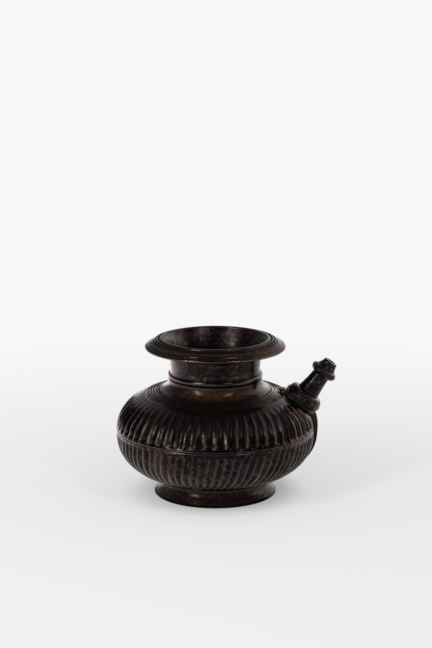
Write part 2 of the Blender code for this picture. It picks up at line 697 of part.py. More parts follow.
def main():
    for old in list(bpy.data.objects):
        bpy.data.objects.remove(old)
    pot_axis = add_empty("pot_axis")
    pot_axis.location = (AXIS_X, 0, 0)
    spout_axis = add_empty("spout_axis", pot_axis)
    spout_axis.location = SPOUT_ROOT
    spout_axis.rotation_euler = (0, SPOUT_TILT, 0)

    deep = TUBE_BURIED + BOWL_WALL
    water_way = round_cutter("water_way_cutter", SPOUT_BORE_ROOT, -deep, deep, spout_axis)
    tube_hole = round_cutter("tube_hole_cutter", TUBE_SOCKET_RADIUS + SEAT_GAP, -deep, deep, spout_axis)
    bowl_outside = bowl_cutter(pot_axis)

    foot_ring(pot_axis)
    lower_bowl(pot_axis)
    seam_band(pot_axis)
    upper_bowl(pot_axis, water_way)
    neck(pot_axis)
    neck_ring(pot_axis)
    rim(pot_axis)
    spout_saddle(pot_axis, tube_hole)
    spout_collar(spout_axis)
    spout_tube(spout_axis, bowl_outside)
    spout_bead(spout_axis)
    spout_nozzle(spout_axis)


main()
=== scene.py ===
"""Looks of a lota: a small fluted bronze water pot with a spout, on a pale studio floor.

Laid out as an add-on and run as a script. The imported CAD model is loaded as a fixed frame, and each
operator builds one piece, or a group of like pieces, in the CAD's own place. Units are metres.
"""

from functools import partial
from math import acos, asin, cos, hypot, pi, radians, sin, sqrt

import bmesh
import bpy
import numpy as np
from mathutils import Matrix, Vector, noise


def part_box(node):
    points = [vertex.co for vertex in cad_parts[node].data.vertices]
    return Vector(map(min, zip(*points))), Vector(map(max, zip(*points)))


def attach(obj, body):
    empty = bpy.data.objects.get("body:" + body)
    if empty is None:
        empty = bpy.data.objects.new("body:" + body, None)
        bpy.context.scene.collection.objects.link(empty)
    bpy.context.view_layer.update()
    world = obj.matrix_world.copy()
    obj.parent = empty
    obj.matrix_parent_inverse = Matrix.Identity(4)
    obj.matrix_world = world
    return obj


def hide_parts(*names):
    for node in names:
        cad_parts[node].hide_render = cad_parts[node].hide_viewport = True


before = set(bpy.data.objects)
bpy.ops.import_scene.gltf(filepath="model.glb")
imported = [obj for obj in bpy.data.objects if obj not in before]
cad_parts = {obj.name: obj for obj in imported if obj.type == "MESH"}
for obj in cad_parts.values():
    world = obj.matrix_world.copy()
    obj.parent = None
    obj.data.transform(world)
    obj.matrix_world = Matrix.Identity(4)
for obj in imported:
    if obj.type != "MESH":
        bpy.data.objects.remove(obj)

bl_info = {
    "name": "Lota",
    "version": (1, 0, 0),
    "blender": (4, 5, 0),
    "location": "3D View > Sidebar > Lota",
    "description": "Builds a fluted bronze water pot and the stage that it stands on",
    "category": "Add Mesh",
}

MM = 0.001

# Places taken from the frame, with the foot's edge left a little proud
FOOT_OVERHANG = 0.4 * MM
FOOT_LOW, FOOT_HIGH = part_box("foot_ring")
AXIS_X = (FOOT_LOW[0] + FOOT_HIGH[0]) / 2
FOOT_RADIUS = (FOOT_HIGH[1] - FOOT_LOW[1]) / 2 + FOOT_OVERHANG
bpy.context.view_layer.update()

# Shape of the bowl's two halves, and the clearance between brazed faces
UPPER_SQUARENESS = 2.58
LOWER_SQUARENESS = 2.36
SEAT_GAP = 0.3 * MM
LAP_HEIGHT = 5.0 * MM
LAP_THICKNESS = 1.6 * MM
FLAT_UNDERSIDE_RADIUS = 30.0 * MM

# Flutes
UPPER_LEAN = radians(0.065) / MM
LOWER_LEAN = radians(0.17) / MM
UPPER_RUNOUT = 10.0 * MM
LOWER_RUNOUT = 4.5 * MM
SEAM_RUNOUT = 2.8 * MM
SHOULDER_BAND_DROP = 3.6 * MM
UNDERSIDE_BAND_RISE = 4.8 * MM
PLAIN_PATCH_INNER = 17.0 * MM
PLAIN_PATCH_FADE = 7.0 * MM
COLUMNS_PER_FLUTE = 12
FLUTE_STRIPS = 54

# Foot, with fine lines given by height, half width and depth
FOOT_FLARE_WAIST = 40.0 * MM
FOOT_FLARE_CURVE = 2.2
FOOT_STEP = 0.4 * MM
FOOT_LINES = [(2.1 * MM, 0.35 * MM, 0.2 * MM), (3.4 * MM, 0.35 * MM, 0.2 * MM)]
FOOT_LINE_DIRT = 0.1 * MM
# Height of the band at the foot's bottom edge that is darkened all round
FOOT_EDGE_DARK_BAND = 0.9 * MM
FOOT_CHAMFER = 0.3 * MM
FOOT_BRAZE = 0.05 * MM

# Raised lines along the seam band
SEAM_LINE_INSET = 0.2 * MM
SEAM_LINE_HALF = 0.4 * MM
SEAM_LINE_RISE = 0.2 * MM
SEAM_STEP = 0.25 * MM
SEAM_RUBBED_FROM = 0.7

# Cove and spigot on the shoulder
COVE_RADIUS = 8.6 * MM
COVE_LEDGE = 1.0 * MM
SPIGOT_HEIGHT = 4.5 * MM
SPIGOT_WALL = 1.2 * MM

# Ring round the neck's foot, rubbed on its middle
NECK_RING_STRIPS = 20
NECK_RING_RUBBED = slice(5, 15)
NECK_RING_RUB = 0.55

# Rim
THROAT_HEIGHT = 18.7 * MM
THROAT_CURVE = 1.8
RIM_LIP_FLARE = 6.9 * MM
RIM_LIP_RISE = 12.5 * MM
RIM_LIP_WIDTH = 3.4 * MM
RIM_LIP_CREST = 0.85 * MM
RIM_FLANGE_WIDTH = 11.4 * MM
RIM_FLANGE_DROP = 5.1 * MM
RIM_FLANGE_CROWN = 1.0 * MM
RIM_EDGE_HEIGHT = 1.9 * MM
RIM_THICKNESS = 3.9 * MM
RIM_ROOT_THICKNESS = 5.5 * MM
RIM_LEDGE_GAP = 0.02 * MM
RIM_STEP = 0.8 * MM
RIM_EDGE_RUB = 0.7

# Marks round the flange: distance from the lip or the edge, half width, and depth, negative for a ridge
RIM_LIP_MARKS = [(0.15 * MM, 0.5 * MM, 0.25 * MM)]
RIM_LIP_MARKS += [(1.9 * MM, 0.9 * MM, -0.4 * MM), (3.9 * MM, 0.9 * MM, -0.4 * MM)]
RIM_EDGE_MARKS = [(2.4 * MM, 0.45 * MM, 0.35 * MM)]

# Lines engraved round the shoulder, inside the flutes' ends
SHOULDER_LINE_INSET = 1.0 * MM
SHOULDER_LINE_STEP = 2.0 * MM
SHOULDER_LINE_DEPTH = 0.5 * MM
SHOULDER_LINE_MARGIN = 0.7 * MM
SHOULDER_LINES_MOST = 8
SHOULDER_STEP = 1.2 * MM

# Spout's place, and the saddle plate with its tail and tongue
SPOUT_ROOT_RISE = 23.6 * MM
SPOUT_LEAN = radians(2.2)
SADDLE_HEIGHT = 2.2 * MM
SADDLE_EDGE = 0.9 * MM
SEAT_MARGIN = 0.6 * MM
TAIL_ROOT_WIDTH = 15.0 * MM
TAIL_TIP_WIDTH = 8.0 * MM
TAIL_ROOT_THICKNESS = 3.3 * MM
TAIL_TIP_THICKNESS = 1.3 * MM
TAIL_FILL = 1.4 * MM
TAIL_FILL_FROM = 0.3
TAIL_FILL_ROUND = 0.6
TONGUE_ROOT_THICKNESS = 6.0 * MM
TONGUE_TIP_THICKNESS = 0.9 * MM
TONGUE_LEAST_THICKNESS = 0.6 * MM
TONGUE_TOP_RISE = 10.0 * MM
PLATE_END_ROUND = 5.0 * MM
PLATE_HOLE_DEEP = 10 * MM
PLATE_ROWS = 110
PLATE_COLUMNS = 24
OUTLINE_SPAN = radians(85)
OUTLINE_STRIPS = 480

# Collar, with a skirt that reaches down over the saddle
SKIRT_DROP = 1.5 * MM
SKIRT_INNER_ROOM = 0.4 * MM
SKIRT_OUTER_ROOM = 0.5 * MM
COLLAR_ROUND = 3.4 * MM
COLLAR_FOOT_ROUND = 2.0 * MM
COLLAR_FOOT_INSET = 2.3 * MM
COLLAR_BULGE = 0.3 * MM
COLLAR_INSET = 0.1 * MM

# Tube and nozzle
TUBE_BOTTOM = -0.6 * MM
TUBE_SOCKET_RADIUS = 8.2 * MM
TUBE_TAPER_CURVE = 1.6
TUBE_SPIGOT_RADIUS = 5.0 * MM
NOZZLE_SOCKET_DEPTH = 2.6 * MM
NOZZLE_EDGE = 0.4 * MM
NOZZLE_HOLLOW = 0.35 * MM

# Lumps of the rough casting: their height and their size
COLLAR_LUMPS = (0.5 * MM, 2.6 * MM)
BEAD_LUMPS = (0.4 * MM, 5.0 * MM)
NOZZLE_LUMPS = (0.3 * MM, 5.0 * MM)
LUMP_CLEARANCE = 0.5 * MM
LUMP_NOISE = (0.9, 2.0, 3)
LUMP_LIMIT = 0.5

# Where the patina changes, as the two ends of each change
COVE_BROWN = (-1.2 * MM, 1.6 * MM)
# Painted shade on the front of the upper half starts between these heights
PAINTED_SHADE_RISE = (9 * MM, 17 * MM)
RIM_RED_DROP = (9 * MM, 6 * MM)
FOOT_DULL = (18 * MM, 14 * MM)
VERDIGRIS_REACH = (30 * MM, 18 * MM)
TONGUE_WORN = (4 * MM, 7 * MM)
# Painted shade on the saddle's tail grows between these drops below the spout's root
TAIL_PAINTED_SHADE = (-6 * MM, -12 * MM)
PALE_EDGE_RISE = (-3 * MM, 2 * MM)
PLAIN_SHOULDER = (21 * MM, 28 * MM)

# The saddle's pale edge, and the rings of dirt on the flange
PALE_EDGE_INSET = 0.5 * MM
PALE_EDGE_HALF = 0.4 * MM
SADDLE_TOP_MARGIN = 0.1 * MM
RIM_RING_FIRST = 0.9 * MM
RIM_RING_HALF = 1.0 * MM
RIM_RING_DROP = 1.3 * MM
LIP_MARGIN = 0.1 * MM

# Sizes of the patina's patterns
CLOUD_SIZE = 18 * MM
BLOT_SIZE = 14 * MM
RUBBED_SIZE = 16 * MM
SPECKLE_SIZE = 3.0 * MM
GRAIN_SIZE = 0.9 * MM
LATHE_LINE_SIZE = 1.1 * MM
BUMP_HEIGHT = 0.25 * MM

# Stage, with each lamp's azimuth and elevation in degrees, its height and its watts
FLOOR_REACH = 8.0
FLOOR_DROP = 0.1 * MM
LAMPS = {"Left soft box": (-45, 32, 0.9, 8.2), "Right soft box": (37, 46, 0.6, 3.0)}
LAMP_WIDTH = 0.15
LAMP_DISTANCE = 1.3
LAMP_COLOUR = (0.86, 0.95, 1.0)
LAMP_AIM = Vector((AXIS_X, 0, 60 * MM))
CAMERA_PLACE = (AXIS_X + 0.6 * MM, -1396.6 * MM, 439.9 * MM)
CAMERA_DIP = 12.47
CAMERA_LENS = 105
CAMERA_SENSOR = 36

# Facets
TURNED_SIDES = 256
SPOUT_SIDES = 144
SHARP_ANGLE = radians(40)
MERGE_DISTANCE = 1e-6
MARK_ROOM = 1.2
MARK_STATIONS = (-1, -0.6, -0.3, 0, 0.3, 0.6, 1)


def linear(hex_colour):
    """An sRGB hex colour as linear red, green and blue."""
    shares = [int(hex_colour[i:i + 2], 16) / 255 for i in (1, 3, 5)]
    return [s / 12.92 if s <= 0.04045 else ((s + 0.055) / 1.055) ** 2.4 for s in shares]


# Properties

def length(name, description, millimetres):
    """A size that a user may change."""
    return bpy.props.FloatProperty(
        name=name, description=description, default=millimetres * MM, min=0.0, precision=5,
        subtype="DISTANCE", unit="LENGTH")


def colour(name, description, hex_colour):
    """A colour that a user may change."""
    return bpy.props.FloatVectorProperty(
        name=name, description=description, default=linear(hex_colour), min=0.0, max=1.0,
        size=3, subtype="COLOR")


class LotaPotSizes(bpy.types.PropertyGroup):
    """Sizes of the bowl, foot, neck and rim."""

    belly_radius: length("Belly radius", "Widest radius of the bowl", 75.5)
    upper_rise: length("Upper rise", "Height of the bowl's upper half, if it ran on to the axis", 37.16)
    lower_drop: length("Lower drop", "Depth of the bowl's lower half, if it ran on to the axis", 40.2)
    wall: length("Wall", "Thickness of the bowl's wall", 3.0)
    seam_rise: length("Seam rise", "Height of the seam band's middle above the belly", 3.1)
    seam_width: length("Seam band", "Height of the plain band round the seam", 2.2)
    upper_flutes: bpy.props.IntProperty(
        name="Upper flutes", description="Number of flutes on the upper half", default=60, min=3)
    lower_flutes: bpy.props.IntProperty(
        name="Lower flutes", description="Number of flutes on the lower half", default=78, min=3)
    upper_depth: length("Upper flute depth", "Depth of the hollows on the upper half", 1.3)
    lower_depth: length("Lower flute depth", "Depth of the hollows on the lower half", 1.0)
    foot_height: length("Foot height", "Height at which the foot meets the bowl", 12.0)
    foot_waist: length("Foot waist", "Radius of the bowl where the foot meets it", 42.4)
    foot_wall: length("Foot wall", "Thickness of the foot", 3.8)
    foot_edge: length("Foot edge", "Height of the plain band at the foot's edge", 0.8)
    neck_radius: length("Neck radius", "Outside radius of the neck", 34.6)
    neck_wall: length("Neck wall", "Thickness of the neck", 2.8)
    neck_height: length("Neck height", "Height of the neck from ledge to rim", 18.4)
    neck_waist: length("Neck waist", "How far the neck draws in at its middle", 0.4)
    ring_height: length("Neck ring height", "Height of the ring round the neck's foot", 4.4)
    ring_bulge: length("Neck ring bulge", "How far the ring stands out from the neck", 1.6)


class LotaSpoutSizes(bpy.types.PropertyGroup):
    """Sizes of the spout."""

    bore_root: length("Root bore", "Radius of the water way at the bowl", 4.4)
    bore_tip: length("Tip bore", "Radius of the water way at the tip", 3.2)
    saddle_radius: length("Saddle radius", "Radius of the plate under the collar", 15.0)
    tail_reach: length("Tail reach", "Length of the plate's tail down the bowl", 50.0)
    tongue_reach: length("Tongue reach", "Length of the plate's tongue up the bowl", 19.5)
    collar_radius: length("Collar radius", "Outside radius of the collar", 13.4)
    collar_height: length("Collar height", "Height of the collar", 7.0)
    tube_root: length("Tube root", "Radius of the tube at the collar", 8.7)
    tube_top: length("Tube top", "Radius of the tube under the bead", 6.9)
    tube_length: length("Tube length", "Length of the tube between collar and bead", 16.0)
    bead_radius: length("Bead radius", "Outside radius of the bead", 10.3)
    bead_height: length("Bead height", "Height of the bead", 6.2)
    nozzle_root: length("Nozzle root", "Radius of the nozzle at the bead", 7.5)
    nozzle_tip: length("Nozzle tip", "Radius of the nozzle's end", 5.3)
    nozzle_length: length("Nozzle length", "Length of the nozzle", 6.1)


class LotaColours(bpy.types.PropertyGroup):
    """Colours of the bronze and the stage."""

    black: colour("Brown-black", "Darkest patina", "#1B1514")
    red: colour("Red-brown", "Thin patina, where the metal shows warm", "#362824")
    blue: colour("Blue-black", "Patches of cooler patina", "#201E26")
    bronze: colour("Worn bronze", "Metal rubbed bare on ridges and in specks", "#6A615E")
    brown: colour("Brown", "Smooth brown cove under the neck", "#3A271B")
    # Painted shade, laid over the front of the upper half
    painted_shade: colour("Painted shade", "Dull brown-black on the front of the upper half", "#130C0A")
    tarnish: colour("Tarnish", "What is left of the mirrored white on the flange and the foot", "#C6C8CA")
    worn_brown: colour("Worn brown", "Tongue of the saddle, rubbed warm", "#50403A")
    edge: colour("Glancing light", "What is left of the mirrored white at a glancing view", "#EEEBEA")
    tan: colour("Tan", "Pale edge of the saddle round the collar", "#453D34")
    green: colour("Green", "Verdigris round the spout's root", "#2E2E25")
    floor: colour("Floor", "Matt floor", "#DAD8D7")
    backdrop: colour("Backdrop", "What the camera sees beyond the floor", "#F7F7F7")


# Outline of the bowl

class Bowl:
    """The bowl's outline: a superellipse with unlike halves, turned about the pot's axis."""

    def __init__(self, sizes):
        self.radius = sizes.belly_radius
        self.upper = (1, sizes.upper_rise, UPPER_SQUARENESS)
        self.lower = (-1, sizes.lower_drop, LOWER_SQUARENESS)
        self.wall = sizes.wall
        self.belly_z = 0.0
        self.belly_z = sizes.foot_height - self.point(self.angle_at_radius(sizes.foot_waist, False))[1]
        seam_z = self.belly_z + sizes.seam_rise
        self.seam_z = seam_z
        self.seam_bottom = seam_z - sizes.seam_width / 2
        self.seam_top = seam_z + sizes.seam_width / 2
        self.lower_edge_z = self.seam_bottom - SEAT_GAP
        self.upper_edge_z = self.seam_top + SEAT_GAP
        self.lap_angle = self.angle(self.upper_edge_z + LAP_HEIGHT)
        self.lap_radius, self.lap_z = self.offset(self.lap_angle, -self.wall)
        self.neck_bore = sizes.neck_radius - sizes.neck_wall
        self.cove_foot = self.find_cove_foot(sizes.neck_radius + COVE_LEDGE)
        self.cove_r, self.ledge_z = self.offset(self.cove_foot, COVE_RADIUS)
        self.upper_end_z = self.point(self.cove_foot)[1] - SHOULDER_BAND_DROP
        self.lower_end_z = sizes.foot_height + UNDERSIDE_BAND_RISE
        self.neck_bottom_z = self.ledge_z + SEAT_GAP
        self.neck_top_z = self.neck_bottom_z + sizes.neck_height
        self.flange_z = self.neck_top_z + RIM_LIP_RISE - RIM_LIP_CREST
        self.throat_z = self.flange_z - THROAT_HEIGHT

    def half(self, upper):
        """Sign, height and squareness of one half."""
        return self.upper if upper else self.lower

    def point(self, angle):
        """(radius, z) on the bowl, from -90 degrees at its base to 90 at its crown."""
        sign, reach, power = self.half(angle >= 0)
        rise = sign * reach * abs(sin(angle)) ** (2 / power)
        return self.radius * cos(angle) ** (2 / power), self.belly_z + rise

    def angle(self, z):
        """The angle at which the bowl has this height."""
        sign, reach, power = self.half(z >= self.belly_z)
        return sign * asin((abs(z - self.belly_z) / reach) ** (power / 2))

    def angle_at_radius(self, radius, upper):
        """The angle at which one half has this radius."""
        sign, _, power = self.half(upper)
        return sign * acos((radius / self.radius) ** (power / 2))

    def normal(self, angle):
        """Unit normal, as (outward, up)."""
        sign, reach, power = self.half(angle >= 0)
        radius, z = self.point(angle)
        outward = (radius / self.radius) ** (power - 1) / self.radius
        up = sign * (abs(z - self.belly_z) / reach) ** (power - 1) / reach
        size = hypot(outward, up)
        return outward / size, up / size

    def offset(self, angle, distance):
        """(radius, z) at a distance from the bowl, measured square to it."""
        radius, z = self.point(angle)
        outward, up = self.normal(angle)
        return radius + distance * outward, z + distance * up

    def throat_radius(self, z):
        """Inside radius of the neck and rim, which open like a trumpet to the lip."""
        share = max(0.0, z - self.throat_z) / THROAT_HEIGHT
        return self.neck_bore + RIM_LIP_FLARE * share ** THROAT_CURVE

    def throat(self, bottom_z, top_z, strips, thickness=0.0):
        """A stretch of the throat's profile, from its bottom up."""
        return [(self.throat_radius(z) + thickness, z) for z in spread(bottom_z, top_z, strips)]

    def find_cove_foot(self, ledge_radius):
        """Where the cove, rolled into the corner of shoulder and neck, leaves the bowl."""
        inner = self.angle_at_radius(self.neck_bore, True)
        outer = 0.0
        for _ in range(50):
            middle = (inner + outer) / 2
            if self.offset(middle, COVE_RADIUS)[0] > ledge_radius + COVE_RADIUS:
                outer = middle
            else:
                inner = middle
        return middle


class Spout:
    """The spout's axis, and heights along it from the bowl's surface."""

    def __init__(self, bowl, sizes):
        self.root_angle = bowl.angle(bowl.belly_z + SPOUT_ROOT_RISE)
        radius, z = bowl.point(self.root_angle)
        self.tilt = acos(bowl.normal(self.root_angle)[1]) - SPOUT_LEAN
        self.root = Vector((radius, 0, z))
        self.axis = Vector((sin(self.tilt), 0, cos(self.tilt)))
        self.place = Matrix.Translation(self.root) @ Matrix.Rotation(self.tilt, 4, "Y")
        self.saddle_radius = sizes.saddle_radius
        self.collar_top = SADDLE_HEIGHT + sizes.collar_height
        self.tube_root = self.collar_top + SEAT_GAP
        self.tube_top = self.tube_root + sizes.tube_length
        self.bead_root = self.tube_top + SEAT_GAP
        self.nozzle_root = self.bead_root + sizes.bead_height + SEAT_GAP
        self.nozzle_tip = self.nozzle_root + sizes.nozzle_length
        self.spigot_top = self.nozzle_root + NOZZLE_SOCKET_DEPTH - SEAT_GAP
        self.bores = (sizes.bore_root, sizes.bore_tip)

    def bore(self, height):
        """Bore of the tube, which narrows evenly from root to tip."""
        return self.bores[0] + (self.bores[1] - self.bores[0]) * height / self.nozzle_tip


# Profiles

def spread(first, last, strips):
    """Both ends and the equal steps between them."""
    return list(np.linspace(first, last, strips + 1))


def arc(centre, radius, first, last, strips):
    """Points on a circle in a profile, both ends included."""
    return [(centre[0] + radius * cos(a), centre[1] + radius * sin(a)) for a in spread(first, last, strips)]


def stations(first, last, marks, step):
    """Places along a run: even steps, and close ones across each mark."""
    places = list(np.arange(first, last, step)) + [last]
    for centre, half, _ in marks:
        places = [p for p in places if abs(p - centre) > MARK_ROOM * half]
        places += [centre + half * s for s in MARK_STATIONS]
    return sorted(places)


def mark_depth(place, marks):
    """Depth of the marks at a place: round-bottomed grooves, or round ridges where negative."""
    total = 0.0
    for centre, half, depth in marks:
        share = abs(place - centre) / half
        if share < 1:
            total += depth * 0.5 * (1 + cos(pi * share))
    return total


# Meshes

def lathe(profile, sides, lean=0.0, level=0.0):
    """Rings of points about the z axis, one to a place of the profile; a lean turns them with height."""
    turns = np.arange(sides) * (2 * pi / sides)
    rings = []
    for radius, z in profile:
        leaned = turns + lean * (z - level)
        ring = [radius * np.cos(leaned), radius * np.sin(leaned), np.full(sides, z)]
        rings.append(np.stack(ring, axis=1))
    return np.array(rings)


def skin(name, rings, closed=True, place=None):
    """An object skinned over rings of points; a closed one joins its last ring to its first."""
    rows, columns = rings.shape[:2]
    index = np.arange(rows * columns).reshape(rows, columns)
    if closed:
        index = np.vstack((index, index[:1]))
    onward = np.roll(index, -1, axis=1)
    faces = np.stack((index[:-1], onward[:-1], onward[1:], index[1:]), axis=-1).reshape(-1, 4)
    mesh = bpy.data.meshes.new(name)
    mesh.from_pydata(rings.reshape(-1, 3).tolist(), [], faces.tolist())
    mesh.transform(Matrix.Translation((AXIS_X, 0, 0)) @ (place or Matrix.Identity(4)))
    piece = bpy.data.objects.new(name, mesh)
    bpy.context.collection.objects.link(piece)
    return piece


def clean(mesh):
    """Merge doubled points, point faces outward and shade smooth between sharp edges."""
    bm = bmesh.new()
    bm.from_mesh(mesh)
    bmesh.ops.remove_doubles(bm, verts=bm.verts, dist=MERGE_DISTANCE)
    bmesh.ops.recalc_face_normals(bm, faces=bm.faces)
    bm.to_mesh(mesh)
    bm.free()
    mesh.shade_smooth()
    mesh.set_sharp_from_angle(angle=SHARP_ANGLE)


def settle(piece):
    """Turn what the modifiers make into the piece's own plain mesh."""
    graph = bpy.context.evaluated_depsgraph_get()
    mesh = bpy.data.meshes.new_from_object(piece.evaluated_get(graph))
    old = piece.data
    piece.modifiers.clear()
    piece.data = mesh
    bpy.data.meshes.remove(old)
    mesh.name = piece.name


def cut(piece, cutter):
    """Take a cutter's shape out of a piece, and throw the cutter away."""
    clean(cutter.data)
    modifier = piece.modifiers.new(cutter.name, "BOOLEAN")
    modifier.operation = "DIFFERENCE"
    modifier.object = cutter
    settle(piece)
    mesh = cutter.data
    bpy.data.objects.remove(cutter)
    bpy.data.meshes.remove(mesh)


def drill(piece, name, radius, deep, spout):
    """Bore a round hole through a piece along the spout's axis."""
    bar = [(0, deep), (radius, deep), (radius, -deep), (0, -deep)]
    cut(piece, skin(name, lathe(bar, SPOUT_SIDES), closed=False, place=spout.place))


def lumpy(rings, inner, lumps):
    """Push the points outside a radius in and out, as on a rough casting."""
    amount, size = lumps
    for point in rings.reshape(-1, 3):
        reach = hypot(point[0], point[1])
        swell = noise.fractal(Vector(point) / size, *LUMP_NOISE)
        if reach > inner:
            point[:2] *= 1 + amount * min(LUMP_LIMIT, swell) / reach


def deliver(piece, node, material):
    """Finish a piece and put it in its CAD node's place."""
    clean(piece.data)
    piece.data.materials.clear()
    piece.data.materials.append(material)
    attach(piece, "root")
    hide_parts(node)


# Nodes, and the kinds that are used often

MATHS = "ShaderNodeMath"
VECTORS = "ShaderNodeVectorMath"
PARTS = "ShaderNodeSeparateXYZ"
RANGE = "ShaderNodeMapRange"
NOISE = "ShaderNodeTexNoise"
MIX = "ShaderNodeMix"

# Settings that many nodes share
PLUS = {"operation": "ADD"}
MINUS = {"operation": "SUBTRACT"}
TIMES = {"operation": "MULTIPLY"}
MOST = {"operation": "MAXIMUM"}
LENGTH = {"operation": "LENGTH", "out": "Value"}
SOFT = {"interpolation_type": "SMOOTHSTEP"}
RGB = {"data_type": "RGBA", "out": 2}


def add_node(tree, kind, inputs=(), out=0, **settings):
    """Add a node with its settings, values and links, and return one of its outputs."""
    node = tree.nodes.new(kind)
    for name, value in settings.items():
        setattr(node, name, value)
    for key, value in inputs.items() if isinstance(inputs, dict) else enumerate(inputs):
        socket = node.inputs[key]
        if isinstance(value, bpy.types.NodeSocket):
            tree.links.new(value, socket)
        else:
            socket.default_value = (*value, 1) if socket.type == "RGBA" else value
    return node.outputs[out]


def flute_tree():
    """A node group that hollows flutes into a turned mesh, along its normals."""
    tree = bpy.data.node_groups.get("Flutes")
    if tree:
        return tree
    tree = bpy.data.node_groups.new("Flutes", "GeometryNodeTree")
    sockets = {
        "Geometry": ["Geometry"],
        "Float": ["Count", "Depth", "Lean", "Seam Height", "Edge Height", "End Height", "Run Out",
                  "Seam Run Out", "Jitter", "Roundness", "Shallowest", "Faded", "Worn", "Axis X",
                  "Patch Inner", "Patch Outer"],
        "Vector": ["Spout Root", "Spout Axis"],
        "Int": ["Seed"],
        "Material": ["Material"],
    }
    for kind, names in sockets.items():
        for name in names:
            tree.interface.new_socket(name, in_out="INPUT", socket_type="NodeSocket" + kind)
    tree.interface.new_socket("Geometry", in_out="OUTPUT", socket_type="NodeSocketGeometry")
    given = tree.nodes.new("NodeGroupInput").outputs
    result = tree.nodes.new("NodeGroupOutput")
    add = partial(add_node, tree)

    # Azimuth about the pot's axis, leaned with height
    position = add("GeometryNodeInputPosition")
    parts = add(PARTS, [position]).node.outputs
    across = add(MATHS, [parts[0], given["Axis X"]], **MINUS)
    azimuth = add(MATHS, [parts[1], across], operation="ARCTAN2")
    rise = add(MATHS, [parts[2], given["Seam Height"]], **MINUS)
    leaned = add(MATHS, [rise, given["Lean"]], **TIMES)
    turn = add(MATHS, [azimuth, leaned], **MINUS)

    # Uneven hand spacing, the same again after one round
    ahead = add(MATHS, [turn], operation="COSINE")
    abreast = add(MATHS, [turn], operation="SINE")
    ring = add("ShaderNodeCombineXYZ", [ahead, abreast])
    wander = add(NOISE, {"Vector": ring, "Scale": 7.0, "Detail": 1.0})
    wander = add(MATHS, [wander, 0.5], **MINUS)
    wander = add(MATHS, [wander, given["Jitter"]], **TIMES)
    turn = add(MATHS, [turn, wander], **PLUS)
    phase = add(MATHS, [turn, given["Count"]], **TIMES)
    phase = add(MATHS, [phase, 2 * pi], operation="DIVIDE")

    # One hollow between two ridges, each of its own depth
    share = add(MATHS, [phase], operation="FRACT")
    number = add(MATHS, [phase], operation="FLOOR")
    number = add(MATHS, [number, given["Count"]], operation="FLOORED_MODULO")
    swing = add(MATHS, [share, pi], **TIMES)
    swing = add(MATHS, [swing], operation="SINE")
    hollow = add(MATHS, [swing, given["Roundness"]], operation="POWER")
    whole = add("FunctionNodeFloatToInt", [number])
    depths = {2: given["Shallowest"], 3: 1.1, "ID": whole, "Seed": given["Seed"]}
    uneven = add("FunctionNodeRandomValue", depths, out=1, data_type="FLOAT")

    # Where the flutes run out: at both their ends, round the spout, and off the outside
    ends = []
    for end, run_out in (("End Height", "Run Out"), ("Edge Height", "Seam Run Out")):
        left = add(MATHS, [given[end], parts[2]], **MINUS)
        left = add(MATHS, [left], operation="ABSOLUTE")
        ends.append(add(RANGE, [left, 0.0, given[run_out]], **SOFT))
    off_root = add(VECTORS, [position, given["Spout Root"]], **MINUS)
    off_axis = add(VECTORS, [off_root, given["Spout Axis"]], operation="CROSS_PRODUCT")
    off_axis = add(VECTORS, [off_axis], **LENGTH)
    clear = add(RANGE, [off_axis, given["Patch Inner"], given["Patch Outer"]], **SOFT)
    outside = add("GeometryNodeInputNamedAttribute", {"Name": "fluted"}, data_type="FLOAT")
    rubbed = add(NOISE, {"Vector": position, "Scale": 1 / RUBBED_SIZE, "Detail": 2.0})
    rubbed = add(RANGE, [rubbed, 0.42, 0.6], **SOFT)
    rubbed = add(MATHS, [rubbed, given["Faded"]], **TIMES)
    clear = add(MATHS, [clear, rubbed], use_clamp=True, **MINUS)
    place = 1.0
    for share in (*ends, clear, outside):
        place = add(MATHS, [place, share], **TIMES)
    cut_in = add(MATHS, [hollow, uneven], **TIMES)
    cut_in = add(MATHS, [cut_in, place], **TIMES)
    ridge = add(MATHS, [1.0, hollow], **MINUS)
    ridge = add(MATHS, [ridge, place], **TIMES)

    # Move the points in, and keep where hollows and ridges are for the material
    inward = add(MATHS, [cut_in, given["Depth"]], **TIMES)
    inward = add(MATHS, [inward, -1.0], **TIMES)
    normal = add("GeometryNodeInputNormal")
    shift = add(VECTORS, {0: normal, "Scale": inward}, operation="SCALE")
    dark = add(MATHS, [cut_in, given["Worn"]], **TIMES)
    light = add(MATHS, [ridge, given["Worn"]], **TIMES)
    mesh = given["Geometry"]
    for name, value in (("hollow", dark), ("ridge", light)):
        mesh = add("GeometryNodeStoreNamedAttribute", {"Geometry": mesh, "Name": name, "Value": value},
                   data_type="FLOAT", domain="POINT")
    mesh = add("GeometryNodeSetPosition", {"Geometry": mesh, "Offset": shift})
    mesh = add("GeometryNodeRealizeInstances", [mesh])
    mesh = add("GeometryNodeSetMaterial", {"Geometry": mesh, "Material": given["Material"]})
    tree.links.new(mesh, result.inputs[0])
    return tree


def mark_rings(piece, name, rows, columns, amount=1.0):
    """Give some rings of a turned piece an attribute, which is nought on the others."""
    marks = np.zeros(len(piece.data.vertices), dtype=np.float32)
    marks.reshape(-1, columns)[rows] = amount
    piece.data.attributes.new(name, "FLOAT", "POINT").data.foreach_set("value", marks)


# Materials

